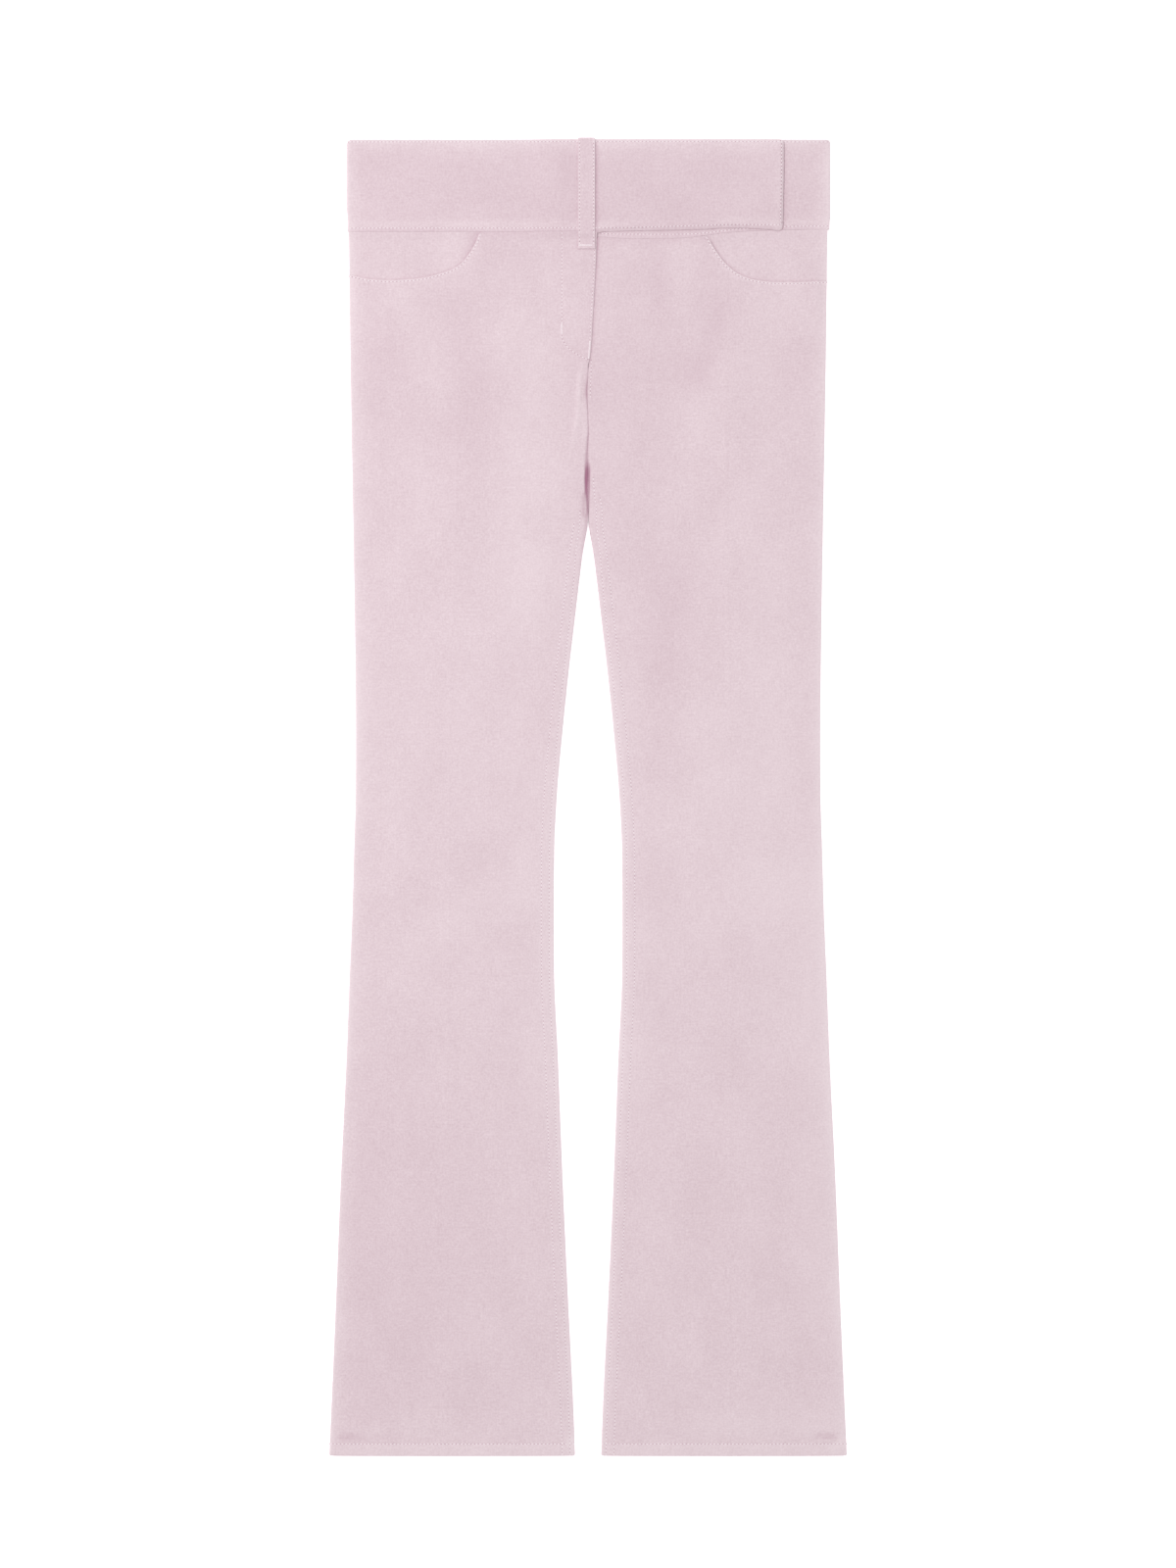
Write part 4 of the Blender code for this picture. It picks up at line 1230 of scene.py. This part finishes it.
def on_band(band, x, height):
    """Points on a front band's upper face."""
    x, height = np.broadcast_arrays(x, height)
    return np.stack([x, height, band.under(x) + BAND_CLOTH + band_relief(band, x, height)], -1)


lay_band(BACK_BAND, RIGHT_CORNER, LEFT_CORNER)
lay_band(UNDER_BAND, SQUARE, LEFT_CORNER)
lay_band(TAB_BAND, RIGHT_CORNER, TAB_CORNER, TAB_CORNER)

side_clear, end_clear = BAND_HALF - 2.6, TAB_END - END_ROW
tab_along = steps(-side_clear, end_clear)
end_up = steps(float(tab_row(end_clear)), BAND_TOP - TOP_ROW)[1:]
end_row = on_band(TAB_BAND, end_clear, end_up)
end_row[:, 0] += smooth(TAB_LEAN, "lean", end_up)
under_along, past_tab = steps(9.0, side_clear), steps(TAB_END + 1.5, side_clear)
topstitch("waistband_stitches", [
    np.concatenate([
        on_band(TAB_BAND, tab_along, tab_row(tab_along)),
        end_row,
        on_band(TAB_BAND, tab_along[::-1][1:], BAND_TOP - TOP_ROW),
    ]),
    on_band(UNDER_BAND, under_along, under_row(under_along)),
    on_band(UNDER_BAND, past_tab, BAND_TOP - TOP_ROW),
])


# ---------------------------------------------------------------------------------------------
# Belt loop. One narrow strip of folded twill at the centre front, sewn down over the top of the fly,
# up over both bands, and folded over their top edge. It is stitched along both sides and across its foot.

LOOP_FOOT = 1008.4
LOOP_CLOTH = 1.2
LOOP_BEND, LOOP_RISE = 3.0, 1.35        # the radius over the bands' top edge, and how far it stands above it
LOOP_BEND_ENDS = (90, -15)
LOOP_STEP_FROM, LOOP_STEP_TO = 1016.5, 1021.8   # it climbs from the fly to the band between these heights
LOOP_ROW, LOOP_FOOT_ROW = 1.4, 3.0
LOOP_ROW_SUNK, LOOP_TACK_SUNK = 0.05, 0.12
# painted highlight along the loop's edges and how far in, and how much darker the whole loop is drawn
LOOP_EDGE_HIGHLIGHT, LOOP_HIGHLIGHT_REACH, LOOP_DEPTH = 0.12, 1.5, 0.06


def loop_path():
    """The loop's upper face from its foot upwards: height and z of points along it."""
    proud = SEAM_GAP + LOOP_CLOTH
    band_face = float(tab_under(0.0)) + BAND_CLOTH
    foot = LOOP_FOOT + np.array([0, 0.08, 0.3, 0.65, 1.2, 2.0])
    low = np.concatenate([foot, np.linspace(1013, LOOP_STEP_FROM, 4)])
    low_z = front_top(RIGHT, np.full(low.shape, -sum(LOOP_SIDES) / 2), low) + proud
    climb = np.linspace(LOOP_STEP_FROM, LOOP_STEP_TO, 9)[1:-1]
    climb_z = low_z[-1] + ramp(LOOP_STEP_FROM, LOOP_STEP_TO, climb) * (band_face + proud - low_z[-1])
    bend = BAND_TOP + LOOP_RISE - LOOP_BEND
    high = np.concatenate([np.arange(LOOP_STEP_TO, bend - 4, 2.4), [bend - 3, bend - 1.2]])
    bend_z = band_face + 2 * SEAM_GAP + LOOP_CLOTH - LOOP_BEND
    lift = (bend_z + LOOP_BEND - band_face - proud) * ramp(bend - 12, bend, high)
    angles = np.radians(np.linspace(*LOOP_BEND_ENDS, 13))
    height = np.concatenate([low, climb, high, bend + LOOP_BEND * np.cos(angles)])
    z = np.concatenate([low_z, climb_z, band_face + proud + lift, bend_z + LOOP_BEND * np.sin(angles)])
    return height, z


loop_height, loop_z = loop_path()
up, rise = np.gradient(loop_height), np.gradient(loop_z)
out_height, out_z = (-rise / np.hypot(up, rise))[:, None], (up / np.hypot(up, rise))[:, None]
loop_length = np.concatenate([[0.0], np.cumsum(np.hypot(np.diff(loop_height), np.diff(loop_z)))])
side_steps = np.array([0, 0.06, 0.2, 0.42, 0.75, 1.1, 1.8])
loop_columns = [LOOP_SIDES[0] + side_steps, np.linspace(-5, 2.5, 5), LOOP_SIDES[1] - side_steps[::-1]]
loop_x, loop_run = np.meshgrid(np.concatenate(loop_columns), loop_length)
rounding = arch(near_outline(loop_x, loop_run) / (LOOP_CLOTH / 2))
from_edge = np.minimum(loop_x - LOOP_SIDES[0], LOOP_SIDES[1] - loop_x)
upper_out = (rounding - 1) * LOOP_CLOTH / 2 + 0.6 * groove(from_edge - LOOP_ROW)
lower_out = -(1 + rounding) * LOOP_CLOTH / 2
loop_faces = [
    np.stack([loop_x, loop_height[:, None] + out * out_height, loop_z[:, None] + out * out_z], -1)
    for out in (upper_out, lower_out)
]
# Painted highlight along the loop's edges, and the whole loop drawn a little darker.
loop_shading = LOOP_EDGE_HIGHLIGHT * np.exp(-from_edge / LOOP_HIGHLIGHT_REACH) - LOOP_DEPTH
loop = cloth_shell("belt_loop_cloth", *loop_faces, (loop_x, loop_run), loop_shading)
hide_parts("belt_loop")

sewn = (loop_length > LOOP_FOOT_ROW) & (loop_height < BAND_TOP + 0.5)
loop_rows = [
    np.stack([np.full(sewn.sum(), row_x), loop_height[sewn], loop_z[sewn] - LOOP_ROW_SUNK], -1)
    for row_x in (LOOP_SIDES[0] + LOOP_ROW, LOOP_SIDES[1] - LOOP_ROW)
]
topstitch("belt_loop_stitches", loop_rows, SUNK)
tack_x = steps(LOOP_SIDES[0] + 1, LOOP_SIDES[1] - 3)
tack_height = np.full(tack_x.shape, LOOP_FOOT + LOOP_FOOT_ROW)
tack_z = np.interp(tack_height, loop_height[:12], loop_z[:12]) - LOOP_TACK_SUNK
bar_tack("belt_loop_tack", [np.stack([tack_x, tack_height, tack_z], -1)])
